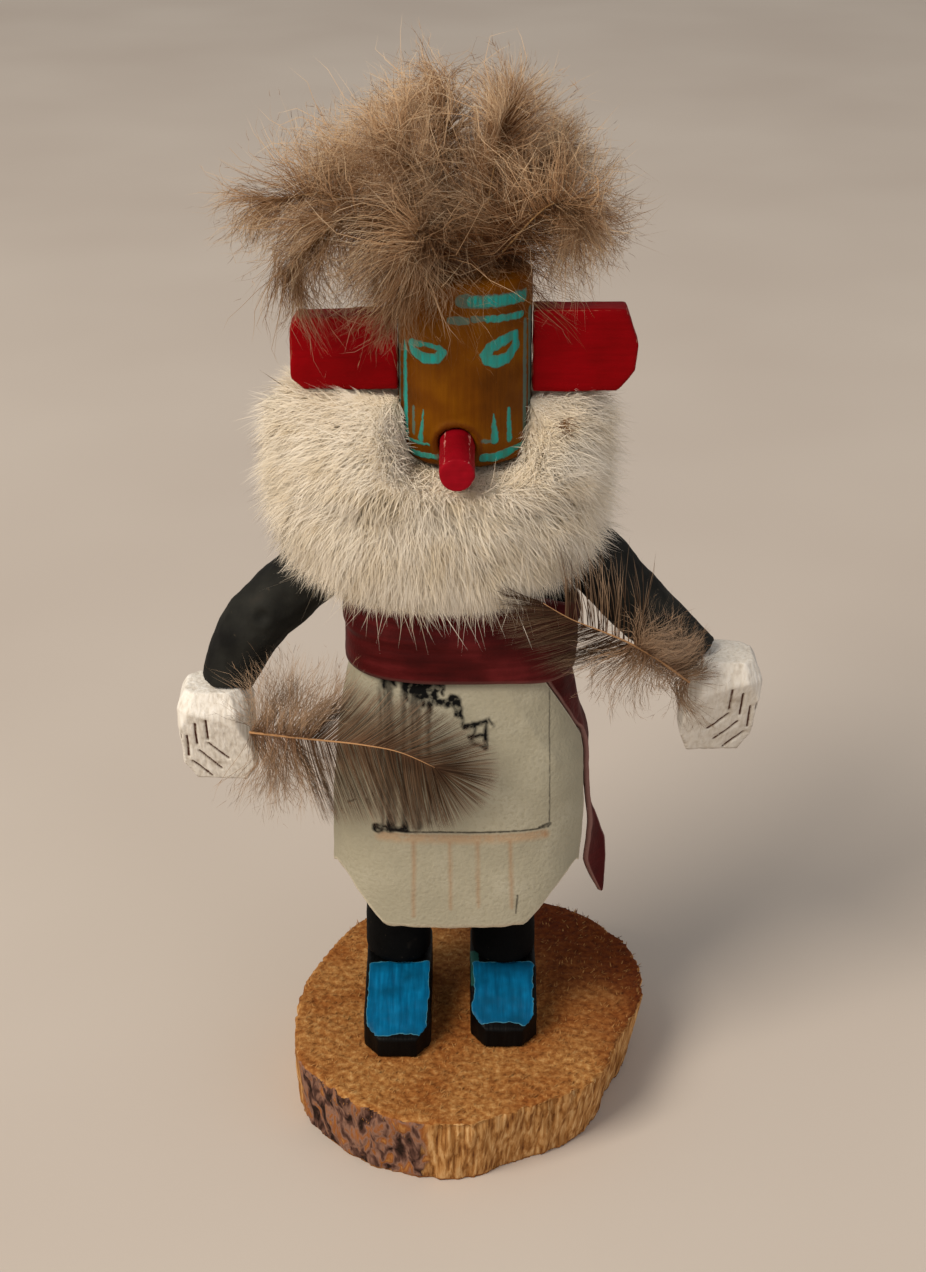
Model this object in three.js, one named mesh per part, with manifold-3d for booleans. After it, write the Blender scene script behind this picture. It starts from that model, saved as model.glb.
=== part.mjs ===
// Kachina doll: a carved wooden figure in a leather kilt, standing on a slice of log.
// Millimetres, +Z up. The origin is the middle of the slice's underside, and the figure faces -Y,
// so its right hand is on the -X side.

import * as THREE from 'three';
import { mergeVertices } from 'three/addons/utils/BufferGeometryUtils.js';
import { ConvexGeometry } from 'three/addons/geometries/ConvexGeometry.js';
import Module from 'manifold-3d';

const wasm = await Module();
wasm.setup();

// ---------------------------------------------------------------- driving dimensions

const GAP = 0.3; // between pieces that touch

const BASE = { height: 19.5, taper: 0.95, shiftX: -1.2, shiftY: 1.6 };
// Rim of the sawn slice as seen from above, anticlockwise from the right.
const BASE_RIM = [
  [45, 11], [42.5, 25.4], [36.2, 34.6], [27, 43], [12, 47], [-6, 46], [-25, 38.5], [-35.5, 21],
  [-39.8, 8], [-40.8, -5], [-38.8, -20], [-30, -31], [-20.7, -38.6], [-6, -43], [2, -43],
  [11.4, -38.4], [26.5, -31], [33, -24], [38, -11], [43.2, 1],
];

const LEG = { rightX: -15.5, leftX: 9.7, y: 7.5, radius: 7.9, bottom: 32.1, top: 76 };
const BOOT = { halfWidth: 7.9, toeClip: 4.6, heelClip: 2, heelY: 17.5, toeHeight: 5, height: 12 };
const TOES = { right: -19.7, left: -16 };
const INSTEP_Y = -0.5;

const TORSO = { y: 4, halfDepth: 16, hipX: -1.8, waistX: -0.35, power: 2.7 };
// Torso section half widths and half depths by height.
const TORSO_RISE = [
  [64, 17, 11], [67, 21, 14.5], [74, 22, 15.6], [118, 22.2, 16], [140, 22.6, 16],
  [148, 21.5, 15], [154, 17, 12.5], [158, 11, 10], [161, 8.5, 8.5],
];

const HEAD = { x: 0.4, y: 0, radius: 13.9, bottom: 166.8, top: 205.3, edge: 0.7 };
const SNOUT = { x: -1.2, z: 171.6, radius: 3.6, depth: 4, reach: 13.5, droop: 0.06 };
const EAR = { front: -4, back: 2.6, bottom: 179.9, top: 197.4, reach: 35.6 };

const KILT = {
  thickness: 1.2, hem: 55, sideRise: 16, sideSink: 0.45, cornerY: -12, sideDepth: 12,
  clipStart: 0.55, top: 124, cornerLow: 97.3,
  cornerShare: 0.112, frontEdge: -14, backEdge: -353,
};
// The kilt's outside by height: shift to the left, half width, half depth and squareness.
const KILT_FLARE = [
  [54, 0.4, 28.9, 21.2, 3.1], [80, 0.4, 29.1, 20.6, 3.1], [95, 0.4, 28.3, 19.9, 3],
  [106, 0.1, 26.6, 19, 2.9], [118, 0, 24.1, 17.8, 2.7], [124, 0, 23.8, 17.6, 2.7],
];
const SASH = {
  bottom: 117.4, leftDrop: 1.6, top: 137.3, sideDrop: 6.5, thickness: 1.5,
  tailWidth: 9, tailThickness: 1.2, tailTop: 121, tailEnd: 54, tailBack: 3,
  twist: 0.75, twistFrom: 0.72, twistTo: 0.97,
};
// Front edge of the sash's hanging end by height, in degrees round the hips. It fills the corner
// that is cut from the kilt.
const TAIL_FRONT = [[54, -10.5], [97, -11], [104, -22], [113, -41], [121, -55]];

const ARM_SIDES = 16;
const FIST = { halfX: 8.3, halfY: 7.6, height: 25.5, wrist: 5.7, shoulder: 4.5 };
const FEATHER_THICKNESS = 0.9;

// ---------------------------------------------------------------- shaping helpers

const vec = (x, y, z) => new THREE.Vector3(x, y, z);

// A closed body from points and triangles, turned the right way out.
function closedBody(points, triangles) {
  const signed = triangles.reduce((sum, [a, b, c]) => {
    return sum + points[a].dot(points[b].clone().cross(points[c]));
  }, 0);
  const ordered = signed > 0 ? triangles : triangles.map(([a, b, c]) => [a, c, b]);
  const geometry = new THREE.BufferGeometry().setFromPoints(points);
  geometry.setIndex(ordered.flat());
  return geometry;
}

// Skins a row of equal rings. Open rows get a cap at each end, closed rows meet themselves.
function loft(rings, closed = false) {
  const count = rings[0].length;
  const points = rings.flat();
  const triangles = [];
  const spans = closed ? rings.length : rings.length - 1;
  for (let r = 0; r < spans; r += 1) {
    const low = r * count;
    const high = ((r + 1) % rings.length) * count;
    for (let i = 0; i < count; i += 1) {
      const j = (i + 1) % count;
      triangles.push([low + i, low + j, high + j], [low + i, high + j, high + i]);
    }
  }
  if (!closed) {
    for (const [start, turn] of [[0, 1], [(rings.length - 1) * count, 0]]) {
      const middle = vec(0, 0, 0);
      for (let i = 0; i < count; i += 1) middle.addScaledVector(points[start + i], 1 / count);
      const centre = points.push(middle) - 1;
      for (let i = 0; i < count; i += 1) {
        const j = (i + 1) % count;
        triangles.push(turn ? [centre, start + j, start + i] : [centre, start + i, start + j]);
      }
    }
  }
  return closedBody(points, triangles);
}

// A closed thin shell on a surface at(u, v), with u and v from 0 to 1. side is the share of the
// thickness that lies along the surface's normal, the rest lies against it.
function shell(at, columns, rows, thickness, side) {
  const step = 1e-3;
  const faces = [[], []];
  for (let i = 0; i <= columns; i += 1) {
    for (let j = 0; j <= rows; j += 1) {
      const [u, v] = [i / columns, j / rows];
      const along = at(Math.min(u + step, 1), v).sub(at(Math.max(u - step, 0), v));
      const across = at(u, Math.min(v + step, 1)).sub(at(u, Math.max(v - step, 0)));
      const normal = along.cross(across).normalize();
      faces[0].push(at(u, v).addScaledVector(normal, thickness * side));
      faces[1].push(at(u, v).addScaledVector(normal, thickness * (side - 1)));
    }
  }
  const index = (face, i, j) => face * faces[0].length + i * (rows + 1) + j;
  const triangles = [];
  const quad = (a, b, c, d) => triangles.push([a, b, c], [a, c, d]);
  for (let i = 0; i < columns; i += 1) {
    for (let j = 0; j < rows; j += 1) {
      quad(index(0, i, j), index(0, i + 1, j), index(0, i + 1, j + 1), index(0, i, j + 1));
      quad(index(1, i, j), index(1, i, j + 1), index(1, i + 1, j + 1), index(1, i + 1, j));
    }
    quad(index(0, i, 0), index(1, i, 0), index(1, i + 1, 0), index(0, i + 1, 0));
    quad(index(0, i, rows), index(0, i + 1, rows), index(1, i + 1, rows), index(1, i, rows));
  }
  for (let j = 0; j < rows; j += 1) {
    quad(index(0, 0, j), index(0, 0, j + 1), index(1, 0, j + 1), index(1, 0, j));
    quad(index(0, columns, j), index(1, columns, j), index(1, columns, j + 1),
      index(0, columns, j + 1));
  }
  return closedBody([...faces[0], ...faces[1]], triangles);
}

// A boxy oval across the figure's axis.
function oval(x, y, z, halfX, halfY, power, count) {
  const ring = [];
  for (let i = 0; i < count; i += 1) {
    const angle = (i / count) * 2 * Math.PI;
    const [c, s] = [Math.cos(angle), Math.sin(angle)];
    ring.push(vec(
      x + halfX * Math.sign(c) * Math.abs(c) ** (2 / power),
      y + halfY * Math.sign(s) * Math.abs(s) ** (2 / power),
      z,
    ));
  }
  return ring;
}

// Reads a table of [height, value, value] rows at any height.
function readRise(table, z) {
  const last = table.length - 1;
  const row = table.findIndex(([height]) => height >= z);
  if (row === 0) return table[0].slice(1);
  if (row < 0) return table[last].slice(1);
  const [low, high] = [table[row - 1], table[row]];
  const t = (z - low[0]) / (high[0] - low[0]);
  return low.slice(1).map((value, i) => THREE.MathUtils.lerp(value, high[i + 1], t));
}

const axisX = (z) => THREE.MathUtils.clamp(
  THREE.MathUtils.mapLinear(z, 70, 125, TORSO.hipX, TORSO.waistX), TORSO.hipX - 0.4, HEAD.x);

function toSolid(geometry) {
  const bare = geometry.clone();
  bare.deleteAttribute('normal');
  bare.deleteAttribute('uv');
  const merged = mergeVertices(bare, 1e-4);
  return new wasm.Manifold(new wasm.Mesh({
    numProp: 3,
    vertProperties: Float32Array.from(merged.attributes.position.array),
    triVerts: Uint32Array.from(merged.index.array),
  }));
}

function toGeometry(solid) {
  const mesh = solid.getMesh();
  const geometry = new THREE.BufferGeometry();
  geometry.setAttribute('position', new THREE.BufferAttribute(mesh.vertProperties.slice(), 3));
  geometry.setIndex([...mesh.triVerts]);
  return geometry;
}

const cylinder = (radius, low, high, x, y, sides) => new THREE.CylinderGeometry(
  radius, radius, high - low, sides).rotateX(Math.PI / 2).translate(x, y, (low + high) / 2);

function extrudeUp(outline, low, high) {
  const shape = new THREE.Shape(outline.map(([x, y]) => new THREE.Vector2(x, y)));
  return new THREE.ExtrudeGeometry(shape, { depth: high - low, bevelEnabled: false })
    .translate(0, 0, low);
}

// Extrudes an outline given as [y, z] points along +X.
function extrudeAcross(outline, from, to) {
  return extrudeUp(outline, from, to).rotateZ(Math.PI / 2).rotateY(Math.PI / 2);
}

// Extrudes an outline given as [x, z] points along Y.
function extrudeBack(outline, front, back) {
  return extrudeUp(outline, -back, -front).rotateX(Math.PI / 2);
}

// ---------------------------------------------------------------- base and boots

function makeBase() {
  const rim = new THREE.CatmullRomCurve3(BASE_RIM.map(([x, y]) => vec(x, y, 0)), true);
  const outline = rim.getSpacedPoints(60).slice(0, 60);
  const ring = (z) => {
    const down = 1 - z / BASE.height;
    const size = THREE.MathUtils.lerp(1, BASE.taper, down);
    return outline.map((p) => vec(p.x * size + BASE.shiftX * down, p.y * size + BASE.shiftY * down, z));
  };
  return loft([0, 0.35, 0.7, 1].map((share) => ring(share * BASE.height)));
}

// Knife-cut block with clipped toe corners and a sloping instep.
function makeBoot(x, toeY) {
  const { halfWidth, toeClip, heelClip, heelY, toeHeight, height } = BOOT;
  const outline = [
    [x - halfWidth, heelY - heelClip], [x - halfWidth, toeY + toeClip],
    [x - halfWidth + toeClip * 0.75, toeY], [x + halfWidth - toeClip * 0.75, toeY],
    [x + halfWidth, toeY + toeClip], [x + halfWidth, heelY - heelClip],
    [x + halfWidth - heelClip, heelY], [x - halfWidth + heelClip, heelY],
  ];
  const sole = BASE.height + GAP;
  const profile = [
    [toeY - 1, sole], [heelY + 1, sole], [heelY + 1, sole + height], [INSTEP_Y, sole + height],
    [(toeY + INSTEP_Y) / 2, sole + (toeHeight + height) / 2 + 0.4], [toeY, sole + toeHeight],
    [toeY - 1, sole + toeHeight - 0.3],
  ];
  const block = toSolid(extrudeUp(outline, sole - 1, sole + height + 1));
  return toGeometry(block.intersect(toSolid(extrudeAcross(profile, x - 20, x + 20))));
}

// ---------------------------------------------------------------- body, arms and hands

function torsoSolid(grow) {
  const rings = TORSO_RISE.map(([z, halfX, halfY]) => oval(
    axisX(z), TORSO.y, z + (z > 150 ? grow : 0), halfX + grow, halfY + grow, TORSO.power, 36));
  return toSolid(loft(rings));
}

function neckSolid(grow) {
  return toSolid(cylinder(8.2 + grow, 155, HEAD.bottom - GAP + grow, HEAD.x, 2.5, 24));
}

function makeBody() {
  const leg = (x) => toSolid(cylinder(LEG.radius, LEG.bottom, LEG.top, x, LEG.y, 28));
  return toGeometry(torsoSolid(0).add(neckSolid(0)).add(leg(LEG.rightX)).add(leg(LEG.leftX)));
}

// Branch-like arm swept along its own axis, with a radius at each point of the path.
function armSolid(path, grow) {
  const curve = new THREE.CatmullRomCurve3(path.map(([x, y, z]) => vec(x, y, z)));
  const steps = 14;
  const rings = [];
  for (let k = 0; k <= steps; k += 1) {
    const t = k / steps;
    const along = curve.getTangent(t);
    const side = vec(0, 1, 0).addScaledVector(along, -along.y).normalize();
    const up = side.clone().cross(along);
    const place = t * (path.length - 1);
    const low = Math.min(Math.floor(place), path.length - 2);
    const radius = THREE.MathUtils.lerp(path[low][3], path[low + 1][3], place - low) + grow;
    const ring = [];
    for (let i = 0; i < ARM_SIDES; i += 1) {
      const angle = (i / ARM_SIDES) * 2 * Math.PI;
      ring.push(curve.getPoint(t).addScaledVector(side, radius * Math.cos(angle))
        .addScaledVector(up, radius * Math.sin(angle)));
    }
    rings.push(ring);
  }
  return toSolid(loft(rings));
}

// Each row is x, y, z and radius. The right arm bends at its knot, the left one is nearly straight.
const ARM_PATHS = {
  right: [[-19, 3.5, 148.5, 6.6], [-31.5, 3, 137.5, 7.4], [-46.8, 2, 122.5, 7.4], [-53.8, 1, 108.6, 5.6]],
  left: [[17.5, 3.5, 149, 6.6], [29.5, 3, 138, 7.4], [42, 2, 124.6, 7.1], [52, 1, 115.8, 5.6]],
};
const FISTS = {
  right: { x: -56, y: 0.5, top: 109.6, side: -1, tilt: 0.03 },
  left: { x: 58.4, y: 0.5, top: 117.3, side: 1, tilt: 0.06 },
};

// Knife-cut fist hanging from the wrist: an eight-sided block, bevelled in front where the fingers
// curl under. Local x points away from the body, z down from the wrist.
function fistSolid({ x, y, top, side, tilt }, grow) {
  const { halfX, halfY, height, wrist, shoulder } = FIST;
  const cut = 0.62;
  const levels = [[0, wrist + 0.4, wrist], [-shoulder * 0.5, halfX * 0.9, halfY * 0.88],
    [-shoulder, halfX, halfY], [-height * 0.8, halfX, halfY], [-height, halfX * 0.72, halfY * 0.8]];
  const points = levels.flatMap(([z, a, b]) => [[1, cut], [cut, 1], [-cut, 1], [-1, cut], [-1, -cut],
    [-cut, -1], [cut, -1], [1, -cut]].map(([p, q]) => vec(p * (a + grow), q * (b + grow),
    z > -1 ? z + grow : z - (z < -20 ? grow : 0))));
  const block = toSolid(new ConvexGeometry(points));
  const normal = vec(side * 0.136, -0.922, -0.362).normalize();
  const keep = new THREE.BoxGeometry(80, 80, 80).translate(0, 0, -40);
  keep.applyQuaternion(new THREE.Quaternion().setFromUnitVectors(vec(0, 0, 1), normal));
  const onBevel = vec(-side * 2.1, -7.6, -6.6).addScaledVector(normal, grow);
  keep.translate(onBevel.x, onBevel.y, onBevel.z);
  let fist = block.intersect(toSolid(keep));
  if (grow === 0) {
    for (const groove of fingerGrooves(side, normal)) fist = fist.subtract(toSolid(groove));
  }
  const turned = toGeometry(fist).rotateY(side * tilt).translate(x, y, top);
  return toSolid(turned);
}

// Three knife lines down the outer side and three across the bevel part the four fingers.
function fingerGrooves(side, normal) {
  const width = 0.5;
  const grooves = [];
  const steps = [-1, 0, 1];
  for (const step of steps) {
    const outer = new THREE.BoxGeometry(1.6, width, 9).rotateX(0.05);
    grooves.push(outer.translate(side * FIST.halfX, step * 3.6 - 0.6, -13.5));
    const across = new THREE.BoxGeometry(7, width, 1.6).rotateZ(side * 0.9);
    across.applyQuaternion(new THREE.Quaternion().setFromUnitVectors(vec(0, 0, 1), normal));
    const [out, down] = [2.1 + step * 2.3, -19.2 - step * 3.1];
    const inward = -7.6 - ((down + 6.6) * 0.362 - (out + 2.1) * 0.136) / 0.922;
    grooves.push(across.translate(side * out, inward, down));
  }
  return grooves;
}

function makeArm(side) {
  const arm = armSolid(ARM_PATHS[side], 0);
  return toGeometry(arm.subtract(torsoSolid(GAP)).subtract(fistSolid(FISTS[side], GAP)));
}

// ---------------------------------------------------------------- head, snout and ears

function headSolid(grow) {
  const { radius, bottom, top, edge } = HEAD;
  const outline = [[0, bottom - grow], [radius - edge + grow, bottom - grow],
    [radius + grow, bottom + edge], [radius + grow, top - edge], [radius - edge + grow, top + grow],
    [0, top + grow]];
  const lathe = new THREE.LatheGeometry(outline.map(([r, z]) => new THREE.Vector2(r, z)), 48);
  return toSolid(lathe.rotateX(Math.PI / 2).translate(HEAD.x, HEAD.y, 0));
}

// Short dowel pointing forwards and a little down, from inside its drilled hole.
function snoutSolid(radius, inner, outer) {
  const length = outer - inner;
  const dowel = new THREE.CylinderGeometry(radius, radius, length, 28);
  dowel.translate(0, -(inner + outer) / 2, 0).rotateX(SNOUT.droop);
  return toSolid(dowel.translate(SNOUT.x, -HEAD.radius, SNOUT.z));
}

function makeHead() {
  const hole = snoutSolid(SNOUT.radius + GAP, -SNOUT.depth - GAP, 10);
  return toGeometry(headSolid(0).subtract(hole));
}

// Flat board with clipped outer corners, hollowed at its inner end to sit on the round head.
function makeEar(side, dropTop) {
  const { front, back, bottom, top, reach } = EAR;
  const outer = side > 0 ? reach + 0.4 : reach;
  const tip = top - dropTop;
  const outline = side > 0
    ? [[8, bottom], [outer - 4, bottom], [outer - 0.5, bottom + 4.4], [outer, bottom + 10],
      [outer - 2.6, tip], [8, tip]]
    : [[8, bottom + 0.4], [outer - 2.6, bottom + 0.4], [outer, bottom + 2.8],
      [outer - 0.2, tip - 2.6], [outer - 1.6, tip - 0.6], [8, tip + 0.4]];
  const board = extrudeBack(outline.map(([x, z]) => [side * x, z]), front, back);
  return toGeometry(toSolid(board).subtract(headSolid(GAP)));
}

// ---------------------------------------------------------------- kilt and sash

// A point of the kilt's outer wrap at a height and an angle in degrees, sunk by a depth.
function hipPoint(z, turn, sink = 0) {
  const [shift, halfX, halfY, power] = readRise(KILT_FLARE, z);
  const angle = THREE.MathUtils.degToRad(turn);
  const [c, s] = [Math.cos(angle), Math.sin(angle)];
  return vec(
    axisX(z) + shift + (halfX - sink) * Math.sign(c) * Math.abs(c) ** (2 / power),
    TORSO.y + (halfY - sink) * Math.sign(s) * Math.abs(s) ** (2 / power),
    z,
  );
}

// Points along the kilt's outer wrap at one height, from the free edge at the figure's left front,
// across the front, round the right side and the back, to the edge at its left back.
function kiltPath(z) {
  const points = [];
  for (let i = 0; i <= 120; i += 1) {
    points.push(hipPoint(z, THREE.MathUtils.lerp(KILT.frontEdge, KILT.backEdge, i / 120)));
  }
  const lengths = [0];
  for (let i = 1; i < points.length; i += 1) {
    lengths.push(lengths[i - 1] + points[i].distanceTo(points[i - 1]));
  }
  return (u) => {
    const wanted = u * lengths[lengths.length - 1];
    const next = Math.max(1, lengths.findIndex((length) => length >= wanted - 1e-9));
    const t = (wanted - lengths[next - 1]) / (lengths[next] - lengths[next - 1]);
    return points[next - 1].clone().lerp(points[next], t);
  };
}

const middlePath = kiltPath(80);

// Lower edge: straight in front and at the back, with the corners cut off towards the sides. It
// sinks a little again behind each front corner.
function kiltHem(u) {
  const place = middlePath(u);
  const [shift, halfX] = readRise(KILT_FLARE, 80);
  const share = Math.abs(place.x - axisX(80) - shift) / halfX;
  const clip = Math.max(0, (share - KILT.clipStart) / (1 - KILT.clipStart));
  const behind = place.y > TORSO.y ? 3 : 0;
  const sink = THREE.MathUtils.smoothstep(place.y, KILT.cornerY, KILT.cornerY + KILT.sideDepth);
  const rise = KILT.sideRise * (1 - KILT.sideSink * sink);
  return KILT.hem + rise * clip + behind * (1 - clip);
}

// Upper edge: under the sash, but cut away aslant at the free front corner.
function kiltTop(u) {
  const { cornerShare, cornerLow, top } = KILT;
  return u < cornerShare ? THREE.MathUtils.mapLinear(u, 0, cornerShare, cornerLow, top) : top;
}

function makeKilt() {
  const at = (u, v) => {
    const z = THREE.MathUtils.lerp(kiltHem(u), kiltTop(u), v);
    return kiltPath(z)(u);
  };
  return shell(at, 48, 7, KILT.thickness, 1);
}

function makeSash() {
  const { top, sideDrop, thickness, tailWidth, tailThickness, tailTop, tailEnd } = SASH;
  const sides = 44;
  const section = (angle) => {
    const [c, s] = [Math.cos(angle), Math.sin(angle)];
    const at = (out, z) => {
      const [halfX, halfY] = readRise(TORSO_RISE, z);
      return vec(
        axisX(z) + (halfX + out) * Math.sign(c) * Math.abs(c) ** (2 / TORSO.power),
        TORSO.y + (halfY + out) * Math.sign(s) * Math.abs(s) ** (2 / TORSO.power),
        z,
      );
    };
    const clear = 2.4;
    const upper = top - sideDrop * Math.abs(c) ** 3;
    const leftFront = THREE.MathUtils.smoothstep(c, 0.15, 0.85)
      * THREE.MathUtils.smoothstep(-s, -0.3, 0.1);
    const bottom = SASH.bottom - SASH.leftDrop * leftFront;
    return [at(clear, bottom), at(clear + thickness, bottom), at(clear + thickness, 127.5),
      at(thickness + 1.2, upper), at(1.2, upper), at(clear, 126)];
  };
  const rings = [];
  for (let i = 0; i < sides; i += 1) rings.push(section((i / sides) * 2 * Math.PI));
  const band = toSolid(loft(rings, true));
  // The tail lies on the hip under the band, hangs edge on from the left side and then twists
  // outwards to its point.
  const path = new THREE.CatmullRomCurve3([vec(25.6, 2, 121), vec(26, 2, 110),
    vec(27.4, 1.9, 99), vec(28.6, 1.6, 84), vec(29.6, 1.2, 72), vec(32.8, -0.4, 54)]);
  const at = (u, v) => {
    const taper = Math.min(1, (1 - v) / 0.13 + 0.06);
    const twist = THREE.MathUtils.smoothstep(v, SASH.twistFrom, SASH.twistTo) * SASH.twist;
    const lift = 0.35 * twist;
    const across = vec(Math.sin(twist), Math.cos(twist), lift).normalize();
    const free = path.getPoint(v).addScaledVector(across, (u - 0.5) * tailWidth * taper);
    const z = THREE.MathUtils.lerp(tailTop, tailEnd, v);
    const [front] = readRise(TAIL_FRONT, z);
    const onHip = hipPoint(z, THREE.MathUtils.lerp(front, SASH.tailBack, u), KILT.thickness / 2);
    return onHip.lerp(free, 1 - THREE.MathUtils.smoothstep(z, 90, 104));
  };
  const tail = toSolid(shell(at, 5, 20, tailThickness, 0.5));
  return toGeometry(band.add(tail));
}

// ---------------------------------------------------------------- fur and feathers

// The ruff's outer mass by height: middle x and y, half width, half depth.
const FUR_RISE = [
  [134, -5, -3, 18, 14], [138, -4.6, -1, 26, 21], [146, -5, 0, 33, 25.5], [156, -5.2, 0, 36.5, 26],
  [165, -5.2, 1, 37, 24.5], [173, -5.2, 4, 36.5, 20.5], [179, -5, 6, 32, 15],
];

// Outlines in x and z that are cut from the ruff in front: it stays below the chin, and its lower
// edge rises towards the figure's left.
const CHIN_CUT = [[-8.6, 165.6], [9.4, 165.6], [17.2, 178], [17.2, 190], [-16.4, 190], [-16.4, 178]];
const HEM_CUT = [[-3, 130], [40, 130], [40, 152], [32, 150.5], [24, 144], [12, 139.5], [-3, 135]];

function makeRuff() {
  const mass = toSolid(loft(FUR_RISE.map(([z, x, y, a, b]) => oval(x, y, z, a, b, 2.2, 32))));
  const clear = GAP * 1.5;
  const sashTop = toSolid(cylinder(29, 120, SASH.top + GAP, 0, TORSO.y, 32));
  let ruff = mass.subtract(torsoSolid(clear)).subtract(neckSolid(clear)).subtract(headSolid(clear));
  for (const side of ['right', 'left']) ruff = ruff.subtract(armSolid(ARM_PATHS[side], clear));
  ruff = ruff.subtract(snoutSolid(SNOUT.radius + clear, -SNOUT.depth, 20)).subtract(sashTop);
  ruff = ruff.subtract(toSolid(extrudeBack(CHIN_CUT, -40, 1)));
  ruff = ruff.subtract(toSolid(extrudeBack(HEM_CUT, -40, 40)));
  return toGeometry(ruff.decompose().sort((a, b) => b.volume() - a.volume())[0]);
}

// Thin leaf along a bent quill. across is the direction of its width at the tip.
function feather(path, halfWidth, across) {
  const curve = new THREE.CatmullRomCurve3(path.map(([x, y, z]) => vec(x, y, z)));
  const sideways = vec(...across).normalize();
  const at = (u, v) => {
    const width = halfWidth * (0.09 + 0.91 * Math.sin(Math.PI * Math.min(1, v * 0.97) ** 0.85) ** 0.8);
    return curve.getPoint(v).addScaledVector(sideways, (u - 0.5) * 2 * width);
  };
  return shell(at, 3, 10, FEATHER_THICKNESS, 0.5);
}

const HAND_FEATHERS = {
  right: {
    path: [[-46.9, -9, 104.6], [-37, -15.5, 107], [-22, -20.4, 105.2], [-7, -21, 99.4], [7, -20.8, 92.5]],
    halfWidth: 15,
    across: [0.28, 0, 1],
  },
  left: {
    path: [[48.6, -8.4, 110.5], [43.4, -12, 121.5], [37.5, -14.5, 127], [26, -19.5, 134.5],
      [16, -23.5, 140.5]],
    halfWidth: 12,
    across: [0.75, 0, 1],
  },
};

// Tips of the headdress feathers from the middle of the head's top, right to left and then behind.
const HEADDRESS_TIPS = [
  [32, 5, 0], [32, -12, 13], [23, 11, 27], [11, -2, 42], [-7, 9, 43], [-20, -4, 36],
  [-37, 12, 22], [-51, 0, 12], [-43, -15, -5], [-15, -25, -9], [-14, 28, 18], [13, 28, 18],
];

function makeHeaddressFeather([x, y, z]) {
  // The steeper a feather stands, the nearer to the middle it is stuck.
  const share = THREE.MathUtils.mapLinear(z, -9, 43, 8.5, 2.6) / Math.hypot(x, y);
  const root = vec(HEAD.x + share * x, HEAD.y + 1 + share * y, HEAD.top + GAP + 0.9);
  const tip = vec(HEAD.x + x, HEAD.y + 1 + y, HEAD.top + z);
  const lift = Math.max(5, 15 - z * 0.4);
  const middle = root.clone().lerp(tip, 0.45).add(vec(0, 0, lift * 0.8));
  const across = tip.clone().sub(root).cross(vec(0, 1, 0.25)).normalize();
  const rows = [root, middle, tip].map((p) => p.toArray());
  return feather(rows, 4.4, across.toArray());
}

// ---------------------------------------------------------------- scene graph

const FINISH = {
  sawnWood: { color: '#a8682f', roughness: 0.85 },
  blackPaint: { color: '#1d1c1a', roughness: 0.7 },
  bootPaint: { color: '#14628c', roughness: 0.5 },
  whitePaint: { color: '#dedad2', roughness: 0.75 },
  ochrePaint: { color: '#86591b', roughness: 0.55 },
  redPaint: { color: '#a11226', roughness: 0.5 },
  creamLeather: { color: '#cfc6ae', roughness: 0.8 },
  maroonLeather: { color: '#4e1216', roughness: 0.6 },
  rabbitFur: { color: '#d9cfb8', roughness: 0.95 },
  downFeather: { color: '#937059', roughness: 0.9 },
};

const figure = new THREE.Group();

function addPiece(name, geometry, finish) {
  geometry.computeVertexNormals();
  const material = new THREE.MeshStandardMaterial({ ...FINISH[finish], metalness: 0 });
  const mesh = new THREE.Mesh(geometry, material);
  mesh.name = name;
  figure.add(mesh);
}

addPiece('base_slice', makeBase(), 'sawnWood');
addPiece('body', makeBody(), 'blackPaint');
addPiece('boot_right', makeBoot(LEG.rightX, TOES.right), 'bootPaint');
addPiece('boot_left', makeBoot(LEG.leftX, TOES.left), 'bootPaint');
for (const side of ['right', 'left']) {
  addPiece(`arm_${side}`, makeArm(side), 'blackPaint');
  addPiece(`hand_${side}`, toGeometry(fistSolid(FISTS[side], 0)), 'whitePaint');
}
addPiece('kilt', makeKilt(), 'creamLeather');
addPiece('sash', makeSash(), 'maroonLeather');
addPiece('fur_ruff', makeRuff(), 'rabbitFur');
addPiece('head', makeHead(), 'ochrePaint');
addPiece('ear_right', makeEar(-1, 1.2), 'redPaint');
addPiece('ear_left', makeEar(1, 0), 'redPaint');
addPiece('snout', toGeometry(snoutSolid(SNOUT.radius, -SNOUT.depth, SNOUT.reach)), 'redPaint');
for (const side of ['right', 'left']) {
  const { path, halfWidth, across } = HAND_FEATHERS[side];
  addPiece(`hand_feather_${side}`, feather(path, halfWidth, across), 'downFeather');
}
HEADDRESS_TIPS.forEach((tip, index) => {
  addPiece(`headdress_feather_${index + 1}`, makeHeaddressFeather(tip), 'downFeather');
});

export default figure;
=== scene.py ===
"""Looks for the kachina doll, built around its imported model.

Everything is in metres in the model's own frame: +Z up, the figure faces -Y, and the origin is the
middle of the log slice's underside. Sizes in the classes are in millimetres, as a carver gives
them.
"""

from __future__ import annotations

import logging
import math
from dataclasses import dataclass, field
from enum import Enum
from functools import partial
from typing import Any, Callable, Sequence

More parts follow.
